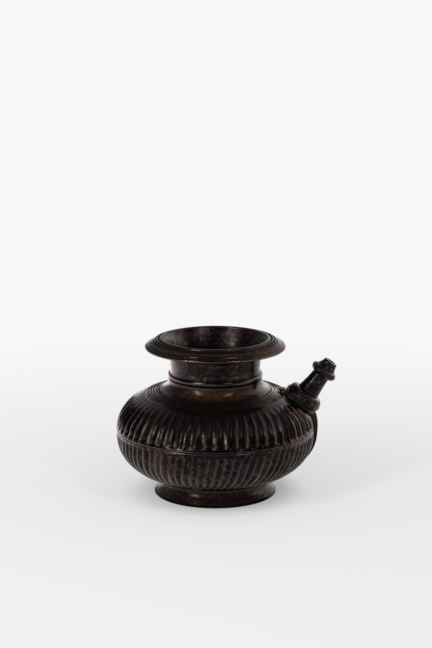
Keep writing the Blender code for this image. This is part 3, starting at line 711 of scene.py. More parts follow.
def patina(name, colours, turned=False, plate=False,
           spout=None, cove=None, rings=None, warm=None, painted_shade=None):
    """Dark brown patina on bronze, which mirrors its surroundings dimly and warms where it is worn."""
    material = bpy.data.materials.get(name)
    if material:
        return material
    material = bpy.data.materials.new(name)
    material.use_nodes = True
    tree = material.node_tree
    shader = tree.nodes["Principled BSDF"]
    add = partial(add_node, tree)
    place = add("ShaderNodeTexCoord", out="Object")
    place = add("ShaderNodeMapping", {0: place, "Location": (-AXIS_X, 0, 0)})
    up = add(PARTS, [place], out=2)
    flat = add(VECTORS, [place, (1, 1, 0)], **TIMES)
    radius = add(VECTORS, [flat], **LENGTH)
    ahead = add(PARTS, [place], out=1)
    ahead = add(MATHS, [ahead, radius], operation="DIVIDE")
    layers, glances = [], []

    # Clouds of unlike patina, a few centimetres across
    clouds = add(NOISE, {"Vector": place, "Scale": 1 / CLOUD_SIZE, "Detail": 5.0, "Roughness": 0.6})
    thin = add(RANGE, [clouds, 0.48, 0.66], **SOFT)
    if warm:
        above = add(RANGE, [up, *warm[:2]], **SOFT)
        outside = add(MATHS, [radius, warm[2]], operation="GREATER_THAN")
        above = add(MATHS, [above, outside], **TIMES)
        thin = add(MATHS, [thin, above], **MOST)
        glances.append((above, colours.tarnish))
    if turned:
        below = add(RANGE, [up, *FOOT_DULL, 0, 0.7])
        thin = add(MATHS, [thin, below], **MOST)
        dulled = add(RANGE, [below, 0, 1, 0, 0.5])
        glances += [(below, colours.tarnish), (dulled, colours.black)]
    if plate:
        thin = add(MATHS, [thin, 0.35], **TIMES)
    apart = add("ShaderNodeMapping", {0: place, "Location": (0.31, 0.17, 0.23)})
    blots = add(NOISE, {"Vector": apart, "Scale": 1 / BLOT_SIZE, "Detail": 6.0, "Roughness": 0.7})
    cool = add(RANGE, [blots, 0.5, 0.66, 0, 0.5], **SOFT)
    layers += [(thin, colours.red), (cool, colours.blue)]

    # Fine speckle and pits
    speckle = add(NOISE, {"Vector": place, "Scale": 1 / SPECKLE_SIZE, "Detail": 5.0, "Roughness": 0.75})
    grain = add(NOISE, {"Vector": place, "Scale": 1 / GRAIN_SIZE, "Detail": 2.0})
    fine = add(MATHS, [grain, 0.3], **TIMES)
    height = add(MATHS, [speckle, fine], **PLUS)
    worn = add(RANGE, [speckle, 0.5, 0.72, 0, 0.3 if turned else 0.45], **SOFT)

    # Ridges rubbed bare in patches
    if rings:
        ridge = add("ShaderNodeAttribute", out="Fac", attribute_name="ridge")
        rub = add(RANGE, [ridge, 0.3, 0.9, 0, 0.7], **SOFT)
        worn = add(MATHS, [worn, rub], **MOST)
    patchy = add(RANGE, [blots, 0.35, 0.58, 0.45, 1.0])
    if plate:
        patchy = add(MATHS, [patchy, 0.75], **TIMES)
    # Painted shade over the front of the upper half: a dark sheet that also keeps the ridges there from
    # showing rubbed
    if painted_shade:
        front = add(RANGE, [ahead, -0.45, -0.85], **SOFT)
        high = add(RANGE, [up, *painted_shade], **SOFT)
        painted_shade_share = add(RANGE, [blots, 0.3, 0.6, 0.65, 1.0])
        for share in (front, high):
            painted_shade_share = add(MATHS, [painted_shade_share, share], **TIMES)
        patchy = add(RANGE, [painted_shade_share, 0, 1, patchy, 0.0])
    worn = add(MATHS, [worn, patchy], **TIMES)
    layers.append((worn, colours.bronze))
    if painted_shade:
        layers.append((painted_shade_share, colours.painted_shade))
    if cove:
        bare = add(RANGE, [up, *cove, 0, 0.85], **SOFT)
        # Painted shade: the brown fades out towards the cove's left and right sides, which stay dark
        clear_of_side_shade = add(MATHS, [ahead], operation="ABSOLUTE")
        clear_of_side_shade = add(RANGE, [clear_of_side_shade, 0.55, 0.9], **SOFT)
        uneven = add(RANGE, [speckle, 0.38, 0.5, 0.3], **SOFT)
        for share in (clear_of_side_shade, uneven):
            bare = add(MATHS, [bare, share], **TIMES)
        layers.append((bare, colours.brown))
    if spout:
        off = add(VECTORS, [place, spout.root], **MINUS)
        far = add(VECTORS, [off], **LENGTH)
        aside = add(VECTORS, [off, spout.axis], operation="CROSS_PRODUCT")
        aside = add(VECTORS, [aside], **LENGTH)
        near = add(RANGE, [far, *VERDIGRIS_REACH, 0, 0.6], **SOFT)
        along = add(VECTORS, [off, spout.axis], out="Value", operation="DOT_PRODUCT")
        plated = add(MATHS, [along, SADDLE_HEIGHT - SADDLE_TOP_MARGIN], operation="LESS_THAN")
        near = add(MATHS, [near, plated], **TIMES)
        layers.append((near, colours.green))
    if plate:
        rise = add(MATHS, [up, spout.root.z], **MINUS)
        tongue = add(RANGE, [rise, *TONGUE_WORN, 0, 0.8], **SOFT)
        tongue = add(MATHS, [tongue, plated], **TIMES)
        layers.append((tongue, colours.worn_brown))
        # Painted shade down the tail below the spout: darkest on its outward face, with its glancing
        # reflection dulled too
        tail = add(RANGE, [rise, *TAIL_PAINTED_SHADE, 0, 0.9], **SOFT)
        facing = add("ShaderNodeNewGeometry", out="Normal")
        facing = add(PARTS, [facing])
        facing = add(RANGE, [facing, 0.72, 0.9, 0.35], **SOFT)
        tail = add(MATHS, [tail, facing], **TIMES)
        layers.append((tail, colours.black))
        glances.append((tail, colours.black))
        middle = spout.saddle_radius - PALE_EDGE_INSET
        rim = add(MATHS, [aside, middle, PALE_EDGE_HALF], operation="COMPARE")
        held = add(RANGE, [rise, *PALE_EDGE_RISE, 0, 0.8], **SOFT)
        for share in (held, plated):
            rim = add(MATHS, [rim, share], **TIMES)
        layers.append((rim, colours.tan))

    # Dull dirt in the flutes and in the rings cut round the shoulder
    if rings:
        hollow = add("ShaderNodeAttribute", out="Fac", attribute_name="hollow")
        dirt = add(RANGE, [hollow, 0.1, 0.9, 0, 0.7])
        outer, spacing, inner, low = rings
        turn = add(MATHS, [radius, outer], **MINUS)
        groove = add(MATHS, [turn, spacing], operation="PINGPONG")
        groove = add(RANGE, [groove, 0.1 * spacing, 0.7 * spacing, 0.97, 0.0], **SOFT)
        for value, edge in ((radius, inner), (up, low)):
            inside = add(MATHS, [value, edge], operation="GREATER_THAN")
            groove = add(MATHS, [groove, inside], **TIMES)
        if spout:
            clear = add(RANGE, [far, *PLAIN_SHOULDER], **SOFT)
            groove = add(MATHS, [groove, clear], **TIMES)
        dirt = add(MATHS, [dirt, groove], **MOST)
        layers.append((dirt, colours.black))
        glances.append((dirt, colours.black))

    # Each layer over those before it
    shade, glance = colours.black, colours.edge
    for share, tint in layers:
        shade = add(MIX, {0: share, 6: shade, 7: tint}, **RGB)
    for share, tint in glances:
        glance = add(MIX, {0: share, 6: glance, 7: tint}, **RGB)

    # Turning lines left by the lathe, and mottled colour
    mottle = add(RANGE, [speckle, 0.32, 0.68, 0.7, 1.35])
    if turned:
        squeeze = add("ShaderNodeMapping", {0: place, "Scale": (0.02, 0.02, 1.0)})
        lines = add(NOISE, {"Vector": squeeze, "Scale": 1 / LATHE_LINE_SIZE, "Detail": 3.0})
        streaks = add(RANGE, [lines, 0.35, 0.65, 0.75, 1.25])
        mottle = add(MATHS, [mottle, streaks], **TIMES)
        lines = add(MATHS, [lines, 0.5], **TIMES)
        height = add(MATHS, [height, lines], **PLUS)
    shade = add(VECTORS, {0: shade, "Scale": mottle}, operation="SCALE")

    # Pits, polish and metal
    strength = 0.5 if turned else 0.3
    bump = add("ShaderNodeBump", {"Height": height, "Strength": strength, "Distance": BUMP_HEIGHT})
    rough = add(RANGE, [blots, 0.3, 0.7, 0.08, 0.15 if plate or turned else 0.26])
    harsh = add(MATHS, [grain, 0.1], **TIMES)
    rough = add(MATHS, [rough, harsh], **PLUS)
    if cove:
        rough = add(RANGE, [bare, 0, 1, rough, 0.16])
    if plate:
        middle = (spout.tube_root + spout.tube_top) / 2
        tube = add(MATHS, [along, middle, middle - spout.tube_root], operation="COMPARE")
        rough = add(RANGE, [tube, 0, 1, 0.3, 0.22])
        rough = add(RANGE, [plated, 0, 1, rough, 0.5])
    if turned:
        facing = add("ShaderNodeNewGeometry", out="Normal")
        facing = add(VECTORS, [facing, flat], out="Value", operation="DOT_PRODUCT")
        inside = add(MATHS, [facing, 0.0], operation="LESS_THAN")
        rough = add(RANGE, [inside, 0, 1, rough, 0.3])
    links = {"Base Color": shade, "Roughness": rough, "Normal": bump, "Specular Tint": glance}
    if turned:
        links["Metallic"] = add(RANGE, [below, 0, 1, 1.0, 0.4])
    if cove:
        # Less metal under the painted shade on the front, and in the brown cove
        dull = add(RANGE, [painted_shade_share, 0, 1, 1.0, 0.45])
        links["Metallic"] = add(RANGE, [bare, 0, 1, dull, 0.25])
    for socket, value in links.items():
        tree.links.new(value, shader.inputs[socket])
    if plate:
        shader.inputs["Metallic"].default_value = 0.8
    shader.inputs["Specular IOR Level"].default_value = 0.25 if plate else 0.12
    return material


def gathered(context):
    """The bowl, the spout, both groups of sizes and the colours."""
    scene = context.scene
    bowl = Bowl(scene.lota_pot)
    spout = Spout(bowl, scene.lota_spout)
    return bowl, spout, scene.lota_pot, scene.lota_spout, scene.lota_colours


def fluted_bronze(context):
    """Bronze of the bowl, with ridges rubbed light, dark hollows, a brown cove and painted shade over the
    front of the upper half.
    """
    bowl, spout, _, _, colours = gathered(context)
    cove_r, cove_z = bowl.point(bowl.cove_foot)
    first = bowl.point(bowl.angle(bowl.upper_end_z))[0] - SHOULDER_LINE_INSET
    return patina("Fluted patinated bronze", colours, spout=spout,
                  cove=[cove_z + rise for rise in COVE_BROWN],
                  painted_shade=[bowl.seam_z + rise for rise in PAINTED_SHADE_RISE],
                  rings=(first, SHOULDER_LINE_STEP / 2, cove_r, bowl.upper_end_z))


def turned_bronze(context):
    """Bronze of the foot, neck and rim, with the lathe's fine lines and a redder rim."""
    bowl, _, _, _, colours = gathered(context)
    lip = bowl.neck_bore + RIM_LIP_FLARE + RIM_LIP_WIDTH
    return patina("Turned patinated bronze", colours, turned=True,
                  rings=(lip + RIM_RING_FIRST, RIM_RING_HALF, lip + LIP_MARGIN,
                         bowl.flange_z - RIM_RING_DROP),
                  warm=[bowl.flange_z - drop for drop in RIM_RED_DROP] + [bowl.neck_bore + RIM_LIP_FLARE])


def spout_bronze(context):
    """Bronze of the spout, greener at its root."""
    _, spout, _, _, colours = gathered(context)
    return patina("Spout patinated bronze", colours, spout=spout, plate=True)


# Kinds of piece

def turned_piece(context, name, node, profile, mark=None, rows=None, amount=1.0):
    """Turn a profile about the pot's axis, mark some of its rings and hand it over."""
    piece = skin(name, lathe(profile, TURNED_SIDES))
    if mark:
        mark_rings(piece, mark, rows, TURNED_SIDES, amount)
    deliver(piece, node, turned_bronze(context))


def fluted_half(context, name, profile, rows, values, closed=True):
    """Turn half a bowl in columns that lean with its flutes, and cut the flutes into some of its rings."""
    bowl, spout, _, _, _ = gathered(context)
    columns = values["Count"] * COLUMNS_PER_FLUTE
    piece = skin(name, lathe(profile, columns, values["Lean"], bowl.seam_z), closed)
    mark_rings(piece, "fluted", rows, columns)
    modifier = piece.modifiers.new("Flutes", "NODES")
    modifier.node_group = flute_tree()
    values = dict(values, **{
        "Seam Height": bowl.seam_z, "Seam Run Out": SEAM_RUNOUT, "Axis X": AXIS_X,
        "Spout Root": spout.root + Vector((AXIS_X, 0, 0)), "Spout Axis": spout.axis,
        "Patch Inner": PLAIN_PATCH_INNER, "Patch Outer": PLAIN_PATCH_INNER + PLAIN_PATCH_FADE,
        "Material": fluted_bronze(context)})
    for item in modifier.node_group.interface.items_tree:
        if item.in_out == "INPUT" and item.name in values:
            modifier[item.identifier] = values[item.name]
    settle(piece)
    return piece


# Operators

class LOTA_OT_foot(bpy.types.Operator):
    """Add the flared foot ring"""

    bl_idname = "lota.foot"
    bl_label = "Foot Ring"

    def execute(self, context):
        bowl, _, sizes, _, _ = gathered(context)
        outer = bowl.offset(bowl.angle_at_radius(FOOT_FLARE_WAIST, False), FOOT_BRAZE)
        inner = bowl.offset(bowl.angle_at_radius(FOOT_FLARE_WAIST - sizes.foot_wall, False), SEAT_GAP)
        low = sizes.foot_edge
        flare, darkened_rows = [], []
        for z in stations(low, outer[1], FOOT_LINES, FOOT_STEP)[::-1]:
            depth = mark_depth(z, FOOT_LINES)
            # Rows in the deeper fine lines, and in the band at the foot's bottom edge, are marked to be
            # darkened
            if depth > FOOT_LINE_DIRT or z < low + FOOT_EDGE_DARK_BAND:
                darkened_rows.append(1 + len(flare))
            share = (outer[1] - z) / (outer[1] - low)
            spread_out = (FOOT_RADIUS - outer[0]) * share ** FOOT_FLARE_CURVE
            flare.append((outer[0] + spread_out - depth, z))
        bottom = [(FOOT_RADIUS, FOOT_CHAMFER), (FOOT_RADIUS - FOOT_CHAMFER, 0)]
        bottom.append((FOOT_RADIUS - sizes.foot_wall, 0))
        # The top of the chamfer is darkened too
        darkened_rows.append(1 + len(flare))
        turned_piece(context, "foot_flare", "foot_ring", [inner] + flare + bottom, "hollow", darkened_rows)
        return {"FINISHED"}


class LOTA_OT_lower_bowl(bpy.types.Operator):
    """Add the lower fluted half of the bowl"""

    bl_idname = "lota.lower_bowl"
    bl_label = "Lower Bowl"

    def execute(self, context):
        bowl, _, sizes, _, _ = gathered(context)
        base = bowl.angle_at_radius(FLAT_UNDERSIDE_RADIUS, False)
        fluted_from = bowl.angle(bowl.lower_end_z)
        edge = bowl.angle(bowl.lower_edge_z)
        lap_outer = bowl.lap_radius - SEAT_GAP
        lap_inner = lap_outer - LAP_THICKNESS
        lap_root_z = bowl.lower_edge_z - LAP_HEIGHT
        inner_top = bowl.angle(lap_root_z - LAP_THICKNESS)
        plain = [bowl.point(a) for a in spread(base, fluted_from, 10)[:-1]]
        cut_part = [bowl.point(a) for a in spread(fluted_from, edge, FLUTE_STRIPS)]
        lap = [(lap_outer, bowl.lower_edge_z), (lap_outer, bowl.lap_z - SEAT_GAP)]
        lap += [(lap_inner, bowl.lap_z - SEAT_GAP), (lap_inner, lap_root_z)]
        inside = [bowl.offset(a, -bowl.wall) for a in spread(inner_top, base, 12)]
        profile = [(0, plain[0][1])] + plain + cut_part + lap + inside + [(0, inside[-1][1])]
        first = 1 + len(plain)
        piece = fluted_half(context, "lower_fluted_half", profile, slice(first, first + len(cut_part)), {
            "Count": sizes.lower_flutes, "Depth": sizes.lower_depth, "Lean": LOWER_LEAN,
            "Edge Height": bowl.lower_edge_z, "End Height": bowl.lower_end_z, "Run Out": LOWER_RUNOUT,
            "Jitter": 0.05, "Roundness": 1.7, "Shallowest": 0.8, "Faded": 0.12, "Worn": 0.6, "Seed": 7,
        }, closed=False)
        deliver(piece, "lower_bowl", fluted_bronze(context))
        return {"FINISHED"}


class LOTA_OT_seam_band(bpy.types.Operator):
    """Add the plain band round the seam"""

    bl_idname = "lota.seam_band"
    bl_label = "Seam Band"

    def execute(self, context):
        bowl, _, _, _, _ = gathered(context)
        line_heights = (bowl.seam_bottom + SEAM_LINE_INSET, bowl.seam_top - SEAM_LINE_INSET)
        lines = [(z, SEAM_LINE_HALF, -SEAM_LINE_RISE) for z in line_heights]
        heights = [z for z in stations(bowl.seam_bottom, bowl.seam_top, lines, SEAM_STEP)
                   if bowl.seam_bottom <= z <= bowl.seam_top]
        outside = [bowl.offset(bowl.angle(z), -mark_depth(z, lines)) for z in heights]
        inside = [(bowl.lap_radius, bowl.seam_top), (bowl.lap_radius, bowl.seam_bottom)]
        columns = 2 * TURNED_SIDES
        piece = skin("seam_strip", lathe(outside + inside, columns))
        rubbed = -SEAM_RUBBED_FROM * SEAM_LINE_RISE
        raised = [i for i, z in enumerate(heights) if mark_depth(z, lines) < rubbed]
        mark_rings(piece, "ridge", raised, columns)
        deliver(piece, "seam_band", fluted_bronze(context))
        return {"FINISHED"}


class LOTA_OT_upper_bowl(bpy.types.Operator):
    """Add the upper fluted half of the bowl, with its engraved shoulder and cove"""

    bl_idname = "lota.upper_bowl"
    bl_label = "Upper Bowl"

    def execute(self, context):
        bowl, spout, sizes, spout_sizes, _ = gathered(context)
        edge = bowl.angle(bowl.upper_edge_z)
        fluted_to = bowl.angle(bowl.upper_end_z)
        cut_part = [bowl.point(a) for a in spread(edge, fluted_to, FLUTE_STRIPS)]
        outward, _ = bowl.normal(bowl.cove_foot)
        cove_start = 1.5 * pi - asin(outward)
        cove_centre = (bowl.cove_r, bowl.ledge_z)
        first_radius = bowl.point(fluted_to)[0]
        last_radius = bowl.point(bowl.cove_foot)[0]
        insets = [SHOULDER_LINE_INSET + i * SHOULDER_LINE_STEP for i in range(SHOULDER_LINES_MOST)]
        lines = [(inset - first_radius, 0.5 * SHOULDER_LINE_STEP, SHOULDER_LINE_DEPTH) for inset in insets
                 if first_radius - inset > last_radius + SHOULDER_LINE_MARGIN]
        shoulder = [bowl.offset(bowl.angle_at_radius(-p, True), -mark_depth(p, lines))
                    for p in stations(-first_radius, -last_radius, lines, SHOULDER_STEP)]
        cove = arc(cove_centre, COVE_RADIUS, cove_start, pi, 14)
        spigot = bowl.neck_bore + SPIGOT_WALL
        spigot_z = bowl.neck_bottom_z + SPIGOT_HEIGHT - SEAT_GAP
        top = [(spigot, bowl.ledge_z), (spigot, spigot_z), (bowl.neck_bore, spigot_z)]
        under = arc(cove_centre, COVE_RADIUS + bowl.wall, pi, cove_start, 8)
        inside = [(bowl.neck_bore, bowl.ledge_z)] + under[1:]
        inside += [bowl.offset(a, -bowl.wall) for a in spread(bowl.cove_foot, bowl.lap_angle, 8)[1:]]
        inside.append((bowl.lap_radius, bowl.upper_edge_z))
        profile = cut_part + shoulder[1:-1] + cove + top + inside
        piece = fluted_half(context, "upper_fluted_half", profile, slice(0, len(cut_part)), {
            "Count": sizes.upper_flutes, "Depth": sizes.upper_depth, "Lean": UPPER_LEAN,
            "Edge Height": bowl.upper_edge_z, "End Height": bowl.upper_end_z, "Run Out": UPPER_RUNOUT,
            "Jitter": 0.04, "Roundness": 0.95, "Shallowest": 0.85, "Faded": 0.1, "Worn": 0.9, "Seed": 3,
        })
        drill(piece, "water_way", spout_sizes.bore_root, 3 * bowl.wall, spout)
        deliver(piece, "upper_bowl", fluted_bronze(context))
        return {"FINISHED"}


class LOTA_OT_neck(bpy.types.Operator):
    """Add the neck and the ring round its foot"""

    bl_idname = "lota.neck"
    bl_label = "Neck and Ring"

    def execute(self, context):
        bowl, _, sizes, _, _ = gathered(context)
        bottom, top = bowl.neck_bottom_z, bowl.neck_top_z
        socket = bowl.neck_bore + SPIGOT_WALL + SEAT_GAP
        ring_top = bottom + sizes.ring_height
        sides = [(sizes.neck_radius - sizes.neck_waist * sin(pi * s),
                  bowl.throat_z + (ring_top - bowl.throat_z) * s) for s in spread(0, 1, 12)]
        profile = bowl.throat(bowl.throat_z, top, 12, sizes.neck_wall)[:0:-1] + sides
        profile += [(sizes.neck_radius, bottom), (socket, bottom), (socket, bottom + SPIGOT_HEIGHT)]
        profile += [(bowl.neck_bore, bottom + SPIGOT_HEIGHT)] + bowl.throat(bowl.throat_z, top, 12)
        turned_piece(context, "neck_tube", "neck", profile)

        inner = sizes.neck_radius + SEAT_GAP
        bulge = sizes.ring_bulge - SEAT_GAP
        half = sizes.ring_height / 2
        profile = [(inner + bulge * cos(a), bottom + half + half * sin(a))
                   for a in spread(0.5 * pi, -0.5 * pi, NECK_RING_STRIPS)]
        turned_piece(context, "neck_bead", "neck_ring", profile, "ridge", NECK_RING_RUBBED, NECK_RING_RUB)
        return {"FINISHED"}


class LOTA_OT_rim(bpy.types.Operator):
    """Add the rim, with its lip, fine ridges and sloping flange"""

    bl_idname = "lota.rim"
    bl_label = "Rim"

    def execute(self, context):
        bowl, _, sizes, _, _ = gathered(context)
        ledge_z = bowl.neck_top_z + RIM_LEDGE_GAP
        lip_inner = bowl.neck_bore + RIM_LIP_FLARE
        lip_outer = lip_inner + RIM_LIP_WIDTH
        flange_z = bowl.flange_z
        edge = lip_outer + RIM_FLANGE_WIDTH
        throat = bowl.throat(ledge_z, flange_z, 16)
        crest = [(lip_inner + RIM_LIP_WIDTH * (1 + cos(a)) / 2, flange_z + RIM_LIP_CREST * sin(a))
                 for a in spread(pi, 0, 16)]
        marks = [(lip_outer + inset, *shape) for inset, *shape in RIM_LIP_MARKS]
        marks += [(edge - inset, *shape) for inset, *shape in RIM_EDGE_MARKS]
        top = []
        for radius in stations(lip_outer, edge, marks, RIM_STEP):
            share = (radius - lip_outer) / RIM_FLANGE_WIDTH
            z = flange_z - RIM_FLANGE_DROP * share + 4 * RIM_FLANGE_CROWN * share * (1 - share)
            top.append((radius, z - mark_depth(radius, marks)))
        top = [p for p in top if p[0] > lip_outer + LIP_MARGIN]
        edge_z = top[-1][1]
        middle = (lip_outer + 0.5 * RIM_FLANGE_WIDTH, flange_z - 0.5 * RIM_FLANGE_DROP + RIM_FLANGE_CROWN)
        round_edge = arc((edge - RIM_EDGE_HEIGHT / 2, edge_z - RIM_EDGE_HEIGHT / 2), RIM_EDGE_HEIGHT / 2,
                         0.35 * pi, -0.5 * pi, 10)
        under = [(edge - RIM_EDGE_HEIGHT, edge_z - RIM_EDGE_HEIGHT), (middle[0], middle[1] - RIM_THICKNESS)]
        under += [(lip_outer, flange_z - RIM_ROOT_THICKNESS)]
        foot = (bowl.throat_radius(ledge_z) + sizes.neck_wall, ledge_z)
        profile = throat[:-1] + crest + top[:-1] + round_edge + under + [foot]
        rubbed = len(throat) + len(crest) + len(top)
        rubbed = slice(rubbed, rubbed + len(round_edge) - 2)
        turned_piece(context, "rim_flange", "rim", profile, "ridge", rubbed, RIM_EDGE_RUB)
        return {"FINISHED"}


class LOTA_OT_saddle(bpy.types.Operator):
    """Add the saddle plate that beds the spout on the bowl"""

    bl_idname = "lota.saddle"
    bl_label = "Spout Saddle"

    def execute(self, context):
        bowl, spout, _, sizes, _ = gathered(context)
        angles = spread(OUTLINE_SPAN, -OUTLINE_SPAN, OUTLINE_STRIPS)
        places = [bowl.point(a) for a in angles]
        lengths = np.cumsum([0.0] + [hypot(b[0] - a[0], b[1] - a[1]) for a, b in zip(places, places[1:])])
        lengths = lengths - np.interp(-spout.root_angle, [-a for a in angles], lengths)
        rings = []
        for distance in spread(-sizes.tongue_reach, sizes.tail_reach, PLATE_ROWS):
            angle = np.interp(distance, lengths, angles)
            radius, z = bowl.offset(angle, SEAT_GAP)
            outward, up = bowl.normal(angle)
            half = self.half_width(distance, sizes)
            under, over = [], []
            for share in spread(-1, 1, PLATE_COLUMNS):
                turn = share * half / radius
                normal = Vector((outward * cos(turn), outward * sin(turn), up))
                place = Vector((radius * cos(turn), radius * sin(turn), z))
                under.append(place)
                over.append(place + normal * self.thickness(distance, share, place, normal, spout, sizes))
            rings.append(under + over[::-1])
        rings = np.array(rings)
        first, last = (np.full_like(ring, ring.mean(axis=0)) for ring in (rings[0], rings[-1]))
        rings = np.concatenate(([first], rings, [last]))
        piece = skin("saddle_plate", rings, closed=False)
        clean(piece.data)
        drill(piece, "tube_hole", TUBE_SOCKET_RADIUS + SEAT_GAP, PLATE_HOLE_DEEP, spout)
        deliver(piece, "spout_saddle", spout_bronze(context))
        return {"FINISHED"}

    def half_width(self, distance, sizes):
        """Half the plate's width: a round saddle with a tail below it and a short tongue above."""
        reach = sizes.tail_reach if distance > 0 else sizes.tongue_reach
        along = abs(distance)
        taper = TAIL_ROOT_WIDTH + (TAIL_TIP_WIDTH - TAIL_ROOT_WIDTH) * along / reach
        past = max(0.0, along - (reach - PLATE_END_ROUND)) / PLATE_END_ROUND
        strap = taper / 2 * sqrt(max(0.0, 1 - past * past))
        saddle = sqrt(max(0.0, sizes.saddle_radius ** 2 - along ** 2))
        return max(strap, saddle, SADDLE_EDGE)

    def thickness(self, distance, share, place, normal, spout, sizes):
        """Thickness at a share of the half width, kept under the collar's flat seat."""
        reach, tip = sizes.tail_reach, TAIL_TIP_THICKNESS
        if distance < 0:
            reach, tip = sizes.tongue_reach, TONGUE_TIP_THICKNESS
        slope = max(0.0, abs(distance) - sizes.saddle_radius) / (reach - sizes.saddle_radius)
        root = TAIL_ROOT_THICKNESS if distance > 0 else TONGUE_ROOT_THICKNESS
        crown = root + (tip - root) * slope
        thick = SADDLE_EDGE + (crown - SADDLE_EDGE) * (1 - share * share)
        aside = (place - spout.root).cross(spout.axis).length
        room = SADDLE_HEIGHT - SEAT_GAP - (place - spout.root).dot(spout.axis)
        if sizes.collar_radius - SKIRT_INNER_ROOM < aside < sizes.saddle_radius + SKIRT_OUTER_ROOM:
            room -= SKIRT_DROP
        facing = normal.dot(spout.axis)
        if distance > TAIL_FILL_FROM * sizes.saddle_radius:
            fill = TAIL_FILL * max(0.0, 1 - distance / sizes.saddle_radius)
            thick = max(thick, (crown + fill) * (1 - TAIL_FILL_ROUND * share * share)) if fill else thick
        elif aside < sizes.saddle_radius - SEAT_MARGIN:
            thick = room
        elif distance < 0:
            flat_top = (spout.root.z + TONGUE_TOP_RISE - place.z) / normal.z
            thick = min(thick, max(TONGUE_LEAST_THICKNESS, flat_top))
        return min(thick, room / facing) if facing > 0 else thick


class LOTA_OT_spout(bpy.types.Operator):
    """Add the spout's collar, tube, bead and nozzle"""

    bl_idname = "lota.spout"
    bl_label = "Spout"

    def execute(self, context):
        _, spout, _, sizes, _ = gathered(context)
        cast = partial(self.cast, spout, spout_bronze(context))
        inner = TUBE_SOCKET_RADIUS + SEAT_GAP
        swell = sizes.collar_radius - COLLAR_ROUND
        profile = [(inner, spout.collar_top), (inner, SADDLE_HEIGHT)]
        skirt = SADDLE_HEIGHT - SKIRT_DROP
        skirt_inner = sizes.collar_radius - COLLAR_INSET
        profile += [(skirt_inner, SADDLE_HEIGHT), (skirt_inner, skirt)]
        foot = arc((sizes.saddle_radius - COLLAR_FOOT_INSET, skirt + COLLAR_FOOT_ROUND), COLLAR_FOOT_ROUND,
                   -0.4 * pi, 0.1 * pi, 10)
        crown = arc((swell, spout.collar_top - COLLAR_ROUND), COLLAR_ROUND, 0, 0.5 * pi, 14)
        (low_radius, low), (high_radius, high) = foot[-1], crown[0]
        side = [(low_radius + (high_radius - low_radius) * s + COLLAR_BULGE * sin(pi * s),
                 low + (high - low) * s) for s in spread(0, 1, 10)]
        profile += foot + side[1:-1] + crown
        cast("collar_ring", "spout_collar", profile, inner, COLLAR_LUMPS)

        taper = [(sizes.tube_top + (sizes.tube_root - sizes.tube_top) * (1 - s) ** TUBE_TAPER_CURVE,
                  spout.tube_root + sizes.tube_length * s) for s in spread(0, 1, 20)]
        profile = [(TUBE_SOCKET_RADIUS, TUBE_BOTTOM), (TUBE_SOCKET_RADIUS, spout.tube_root)] + taper
        profile += [(TUBE_SPIGOT_RADIUS, spout.tube_top), (TUBE_SPIGOT_RADIUS, spout.spigot_top)]
        profile += [(spout.bore(z), z) for z in (spout.spigot_top, TUBE_BOTTOM)]
        cast("tube_taper", "spout_tube", profile)

        half = sizes.bead_height / 2
        inner = TUBE_SPIGOT_RADIUS + SEAT_GAP
        profile = [(inner, spout.bead_root + sizes.bead_height), (inner, spout.bead_root)]
        profile += arc((sizes.bead_radius - half, spout.bead_root + half), half, -0.5 * pi, 0.5 * pi, 24)
        cast("tip_bead", "spout_bead", profile, inner, BEAD_LUMPS)

        bore = spout.bore(spout.nozzle_tip)
        socket_top = spout.nozzle_root + NOZZLE_SOCKET_DEPTH
        narrowing = sizes.nozzle_tip - sizes.nozzle_root
        sides = [(sizes.nozzle_root + narrowing * s - NOZZLE_HOLLOW * sin(pi * s),
                  spout.nozzle_root + (sizes.nozzle_length - NOZZLE_EDGE) * s) for s in spread(0, 1, 12)]
        profile = [(bore, spout.nozzle_tip), (bore, socket_top), (inner, socket_top)]
        profile += [(inner, spout.nozzle_root)] + sides
        profile.append((sizes.nozzle_tip - NOZZLE_EDGE, spout.nozzle_tip))
        cast("tip_cone", "spout_nozzle", profile, inner, NOZZLE_LUMPS)
        return {"FINISHED"}

    def cast(self, spout, material, name, node, profile, inner=0.0, lumps=None):
        """Turn a profile about the spout's axis, roughen it outside a radius and hand it over."""
        rings = lathe(profile, SPOUT_SIDES)
        if lumps:
            lumpy(rings, inner + LUMP_CLEARANCE, lumps)
        deliver(skin(name, rings, place=spout.place), node, material)


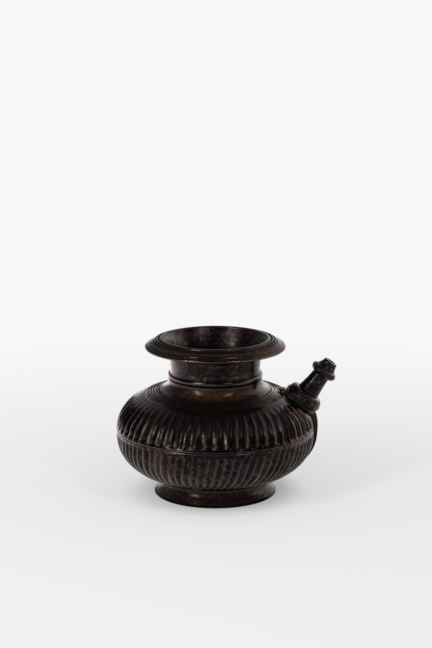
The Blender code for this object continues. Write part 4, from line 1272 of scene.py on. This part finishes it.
class LOTA_OT_stage(bpy.types.Operator):
    """Add the floor, the light and the camera"""

    bl_idname = "lota.stage"
    bl_label = "Stage"

    def execute(self, context):
        colours = context.scene.lota_colours
        self.add_floor(colours)
        self.add_world(context.scene, colours)
        for name, lamp in LAMPS.items():
            self.add_lamp(name, *lamp)
        self.add_camera(context.scene)
        context.scene.view_settings.view_transform = "Standard"
        return {"FINISHED"}

    def add_floor(self, colours):
        """A matt floor that turns into the backdrop's white a little way off, and glows unevenly in the
        pot's reflections as painted light.
        """
        corners = [(-1, -1), (1, -1), (1, 1), (-1, 1)]
        corners = [(x * FLOOR_REACH, y * FLOOR_REACH, -FLOOR_DROP) for x, y in corners]
        mesh = bpy.data.meshes.new("floor")
        mesh.from_pydata(corners, [], [(0, 1, 2, 3)])
        floor = bpy.data.objects.new("floor", mesh)
        bpy.context.collection.objects.link(floor)
        material = bpy.data.materials.new("Matt white floor")
        material.use_nodes = True
        tree = material.node_tree
        tree.nodes.clear()
        add = partial(add_node, tree)
        plain = add("ShaderNodeBsdfDiffuse", {"Color": colours.floor})
        path = add("ShaderNodeLightPath").node.outputs
        spot = add("ShaderNodeTexCoord", out="Object")
        aside = add(PARTS, [spot])
        # Painted light: to glossy rays the floor glows, up to 3.3 times the backdrop's white on the left,
        # dimmer in front and brighter close to the pot
        level = add(RANGE, [aside, -0.4, 0.1, 3.3, 1.4])
        front = add(VECTORS, [spot, (0, -0.45, 0)], out="Value", operation="DISTANCE")
        front = add(RANGE, [front, 0.25, 0.6, 0.3], **SOFT)
        glow_near_pot = add(VECTORS, [spot], **LENGTH)
        glow_near_pot = add(RANGE, [glow_near_pot, 0.1, 0.3, 1.6, 1.0])
        for share in (front, glow_near_pot):
            level = add(MATHS, [level, share], **TIMES)
        level = add(MIX, {0: path["Is Glossy Ray"], 2: 1.0, 3: level}, data_type="FLOAT")
        white = add("ShaderNodeEmission", {"Color": colours.backdrop, "Strength": level})
        place = add("ShaderNodeMapping", {0: spot, "Location": (0, 0.25, 0)})
        off = add(VECTORS, [place], **LENGTH)
        by_pot = add(VECTORS, [spot, (AXIS_X, 0, 0)], out="Value", operation="DISTANCE")
        near = add(RANGE, [by_pot, 0.048, 0.075, 0.3, 0.57], **SOFT)
        fade = add(RANGE, [off, 0.28, 0.8, near], **SOFT)
        seen = add(MATHS, [path["Is Camera Ray"], path["Is Glossy Ray"]], **MOST)
        fade = add(MATHS, [fade, seen], **TIMES)
        mixed = add("ShaderNodeMixShader", [fade, plain, white])
        tree.links.new(mixed, tree.nodes.new("ShaderNodeOutputMaterial").inputs["Surface"])
        mesh.materials.append(material)

    def add_world(self, scene, colours):
        """White to the camera; mirrored, white low at the sides and back, dark above and in front."""
        world = bpy.data.worlds.new("Studio")
        world.use_nodes = True
        scene.world = world
        tree = world.node_tree
        add = partial(add_node, tree)
        way = add("ShaderNodeTexCoord", out="Generated")
        parts = add(PARTS, [way]).node.outputs
        back = add(RANGE, [parts[1], -0.4, 0.3, 0.05, 1.0], **SOFT)
        tilt = add(MATHS, [parts[0], -1.2], **TIMES)
        tilt = add(MATHS, [parts[2], tilt], **PLUS)
        low = add(RANGE, [tilt, -0.5, 0.55, 2.25, 0.22], **SOFT)
        mirrored = add(MATHS, [back, low], **TIMES)
        top = add(RANGE, [parts[1], 0.0, 0.45, 0, 0.36], **SOFT)
        mirrored = add(MATHS, [mirrored, top], **PLUS)
        front = add(RANGE, [parts[1], -0.2, -0.6, 0, 0.3], **SOFT)
        under = add(RANGE, [parts[2], 0.6, 0.92, 1.0, 0.0], **SOFT)
        side = add(RANGE, [parts[0], -0.5, 0.25, 1.7, 0.4])
        for share in (under, side):
            front = add(MATHS, [front, share], **TIMES)
        mirrored = add(MATHS, [mirrored, front], **PLUS)
        path = add("ShaderNodeLightPath").node.outputs
        level = add(MIX, {0: path["Is Glossy Ray"], 2: 0.74, 3: mirrored}, data_type="FLOAT")
        level = add(MIX, {0: path["Is Camera Ray"], 2: level, 3: 1.0}, data_type="FLOAT")
        shader = tree.nodes["Background"]
        shader.inputs["Color"].default_value = (*colours.backdrop, 1)
        tree.links.new(level, shader.inputs["Strength"])

    def add_lamp(self, name, azimuth, elevation, height, watts):
        """A soft box aimed at the pot; azimuth is from the camera's side, to the right."""
        light = bpy.data.lights.new(name, "AREA")
        light.shape = "RECTANGLE"
        light.size, light.size_y = LAMP_WIDTH, height
        light.energy = watts
        light.color = LAMP_COLOUR
        lamp = bpy.data.objects.new(name, light)
        bpy.context.collection.objects.link(lamp)
        side, up = radians(azimuth), radians(elevation)
        away = Vector((sin(side) * cos(up), -cos(side) * cos(up), sin(up)))
        lamp.location = LAMP_AIM + away * LAMP_DISTANCE
        lamp.rotation_euler = away.to_track_quat("Z", "Y").to_euler()
        lamp.visible_camera = False

    def add_camera(self, scene):
        """A long lens a little above the rim, as in the photograph."""
        camera = bpy.data.cameras.new("Camera")
        camera.sensor_fit = "VERTICAL"
        camera.sensor_height = CAMERA_SENSOR
        camera.lens = CAMERA_LENS
        seat = bpy.data.objects.new("Camera", camera)
        bpy.context.collection.objects.link(seat)
        seat.location = CAMERA_PLACE
        seat.rotation_euler = (radians(90 - CAMERA_DIP), 0, 0)
        scene.camera = seat


class LOTA_PT_panel(bpy.types.Panel):
    """Buttons and settings in the sidebar"""

    bl_idname = "LOTA_PT_panel"
    bl_label = "Lota"
    bl_space_type = "VIEW_3D"
    bl_region_type = "UI"
    bl_category = "Lota"

    def draw(self, context):
        for name in ("lota_pot", "lota_spout", "lota_colours"):
            group = getattr(context.scene, name)
            box = self.layout.box()
            for prop in group.bl_rna.properties.keys():
                if prop not in ("rna_type", "name"):
                    box.prop(group, prop)
        for operator in OPERATORS:
            self.layout.operator(operator.bl_idname)


OPERATORS = (
    LOTA_OT_foot, LOTA_OT_lower_bowl, LOTA_OT_seam_band, LOTA_OT_upper_bowl, LOTA_OT_neck,
    LOTA_OT_rim, LOTA_OT_saddle, LOTA_OT_spout, LOTA_OT_stage)
GROUPS = {"lota_pot": LotaPotSizes, "lota_spout": LotaSpoutSizes, "lota_colours": LotaColours}


def register():
    for kind in (*GROUPS.values(), *OPERATORS, LOTA_PT_panel):
        bpy.utils.register_class(kind)
    for name, group in GROUPS.items():
        setattr(bpy.types.Scene, name, bpy.props.PointerProperty(type=group))


def unregister():
    for name in GROUPS:
        delattr(bpy.types.Scene, name)
    for kind in reversed((*GROUPS.values(), *OPERATORS, LOTA_PT_panel)):
        bpy.utils.unregister_class(kind)


def main():
    register()
    bpy.ops.lota.foot()
    bpy.ops.lota.lower_bowl()
    bpy.ops.lota.seam_band()
    bpy.ops.lota.upper_bowl()
    bpy.ops.lota.neck()
    bpy.ops.lota.rim()
    bpy.ops.lota.saddle()
    bpy.ops.lota.spout()
    bpy.ops.lota.stage()


if __name__ == "__main__":
    main()
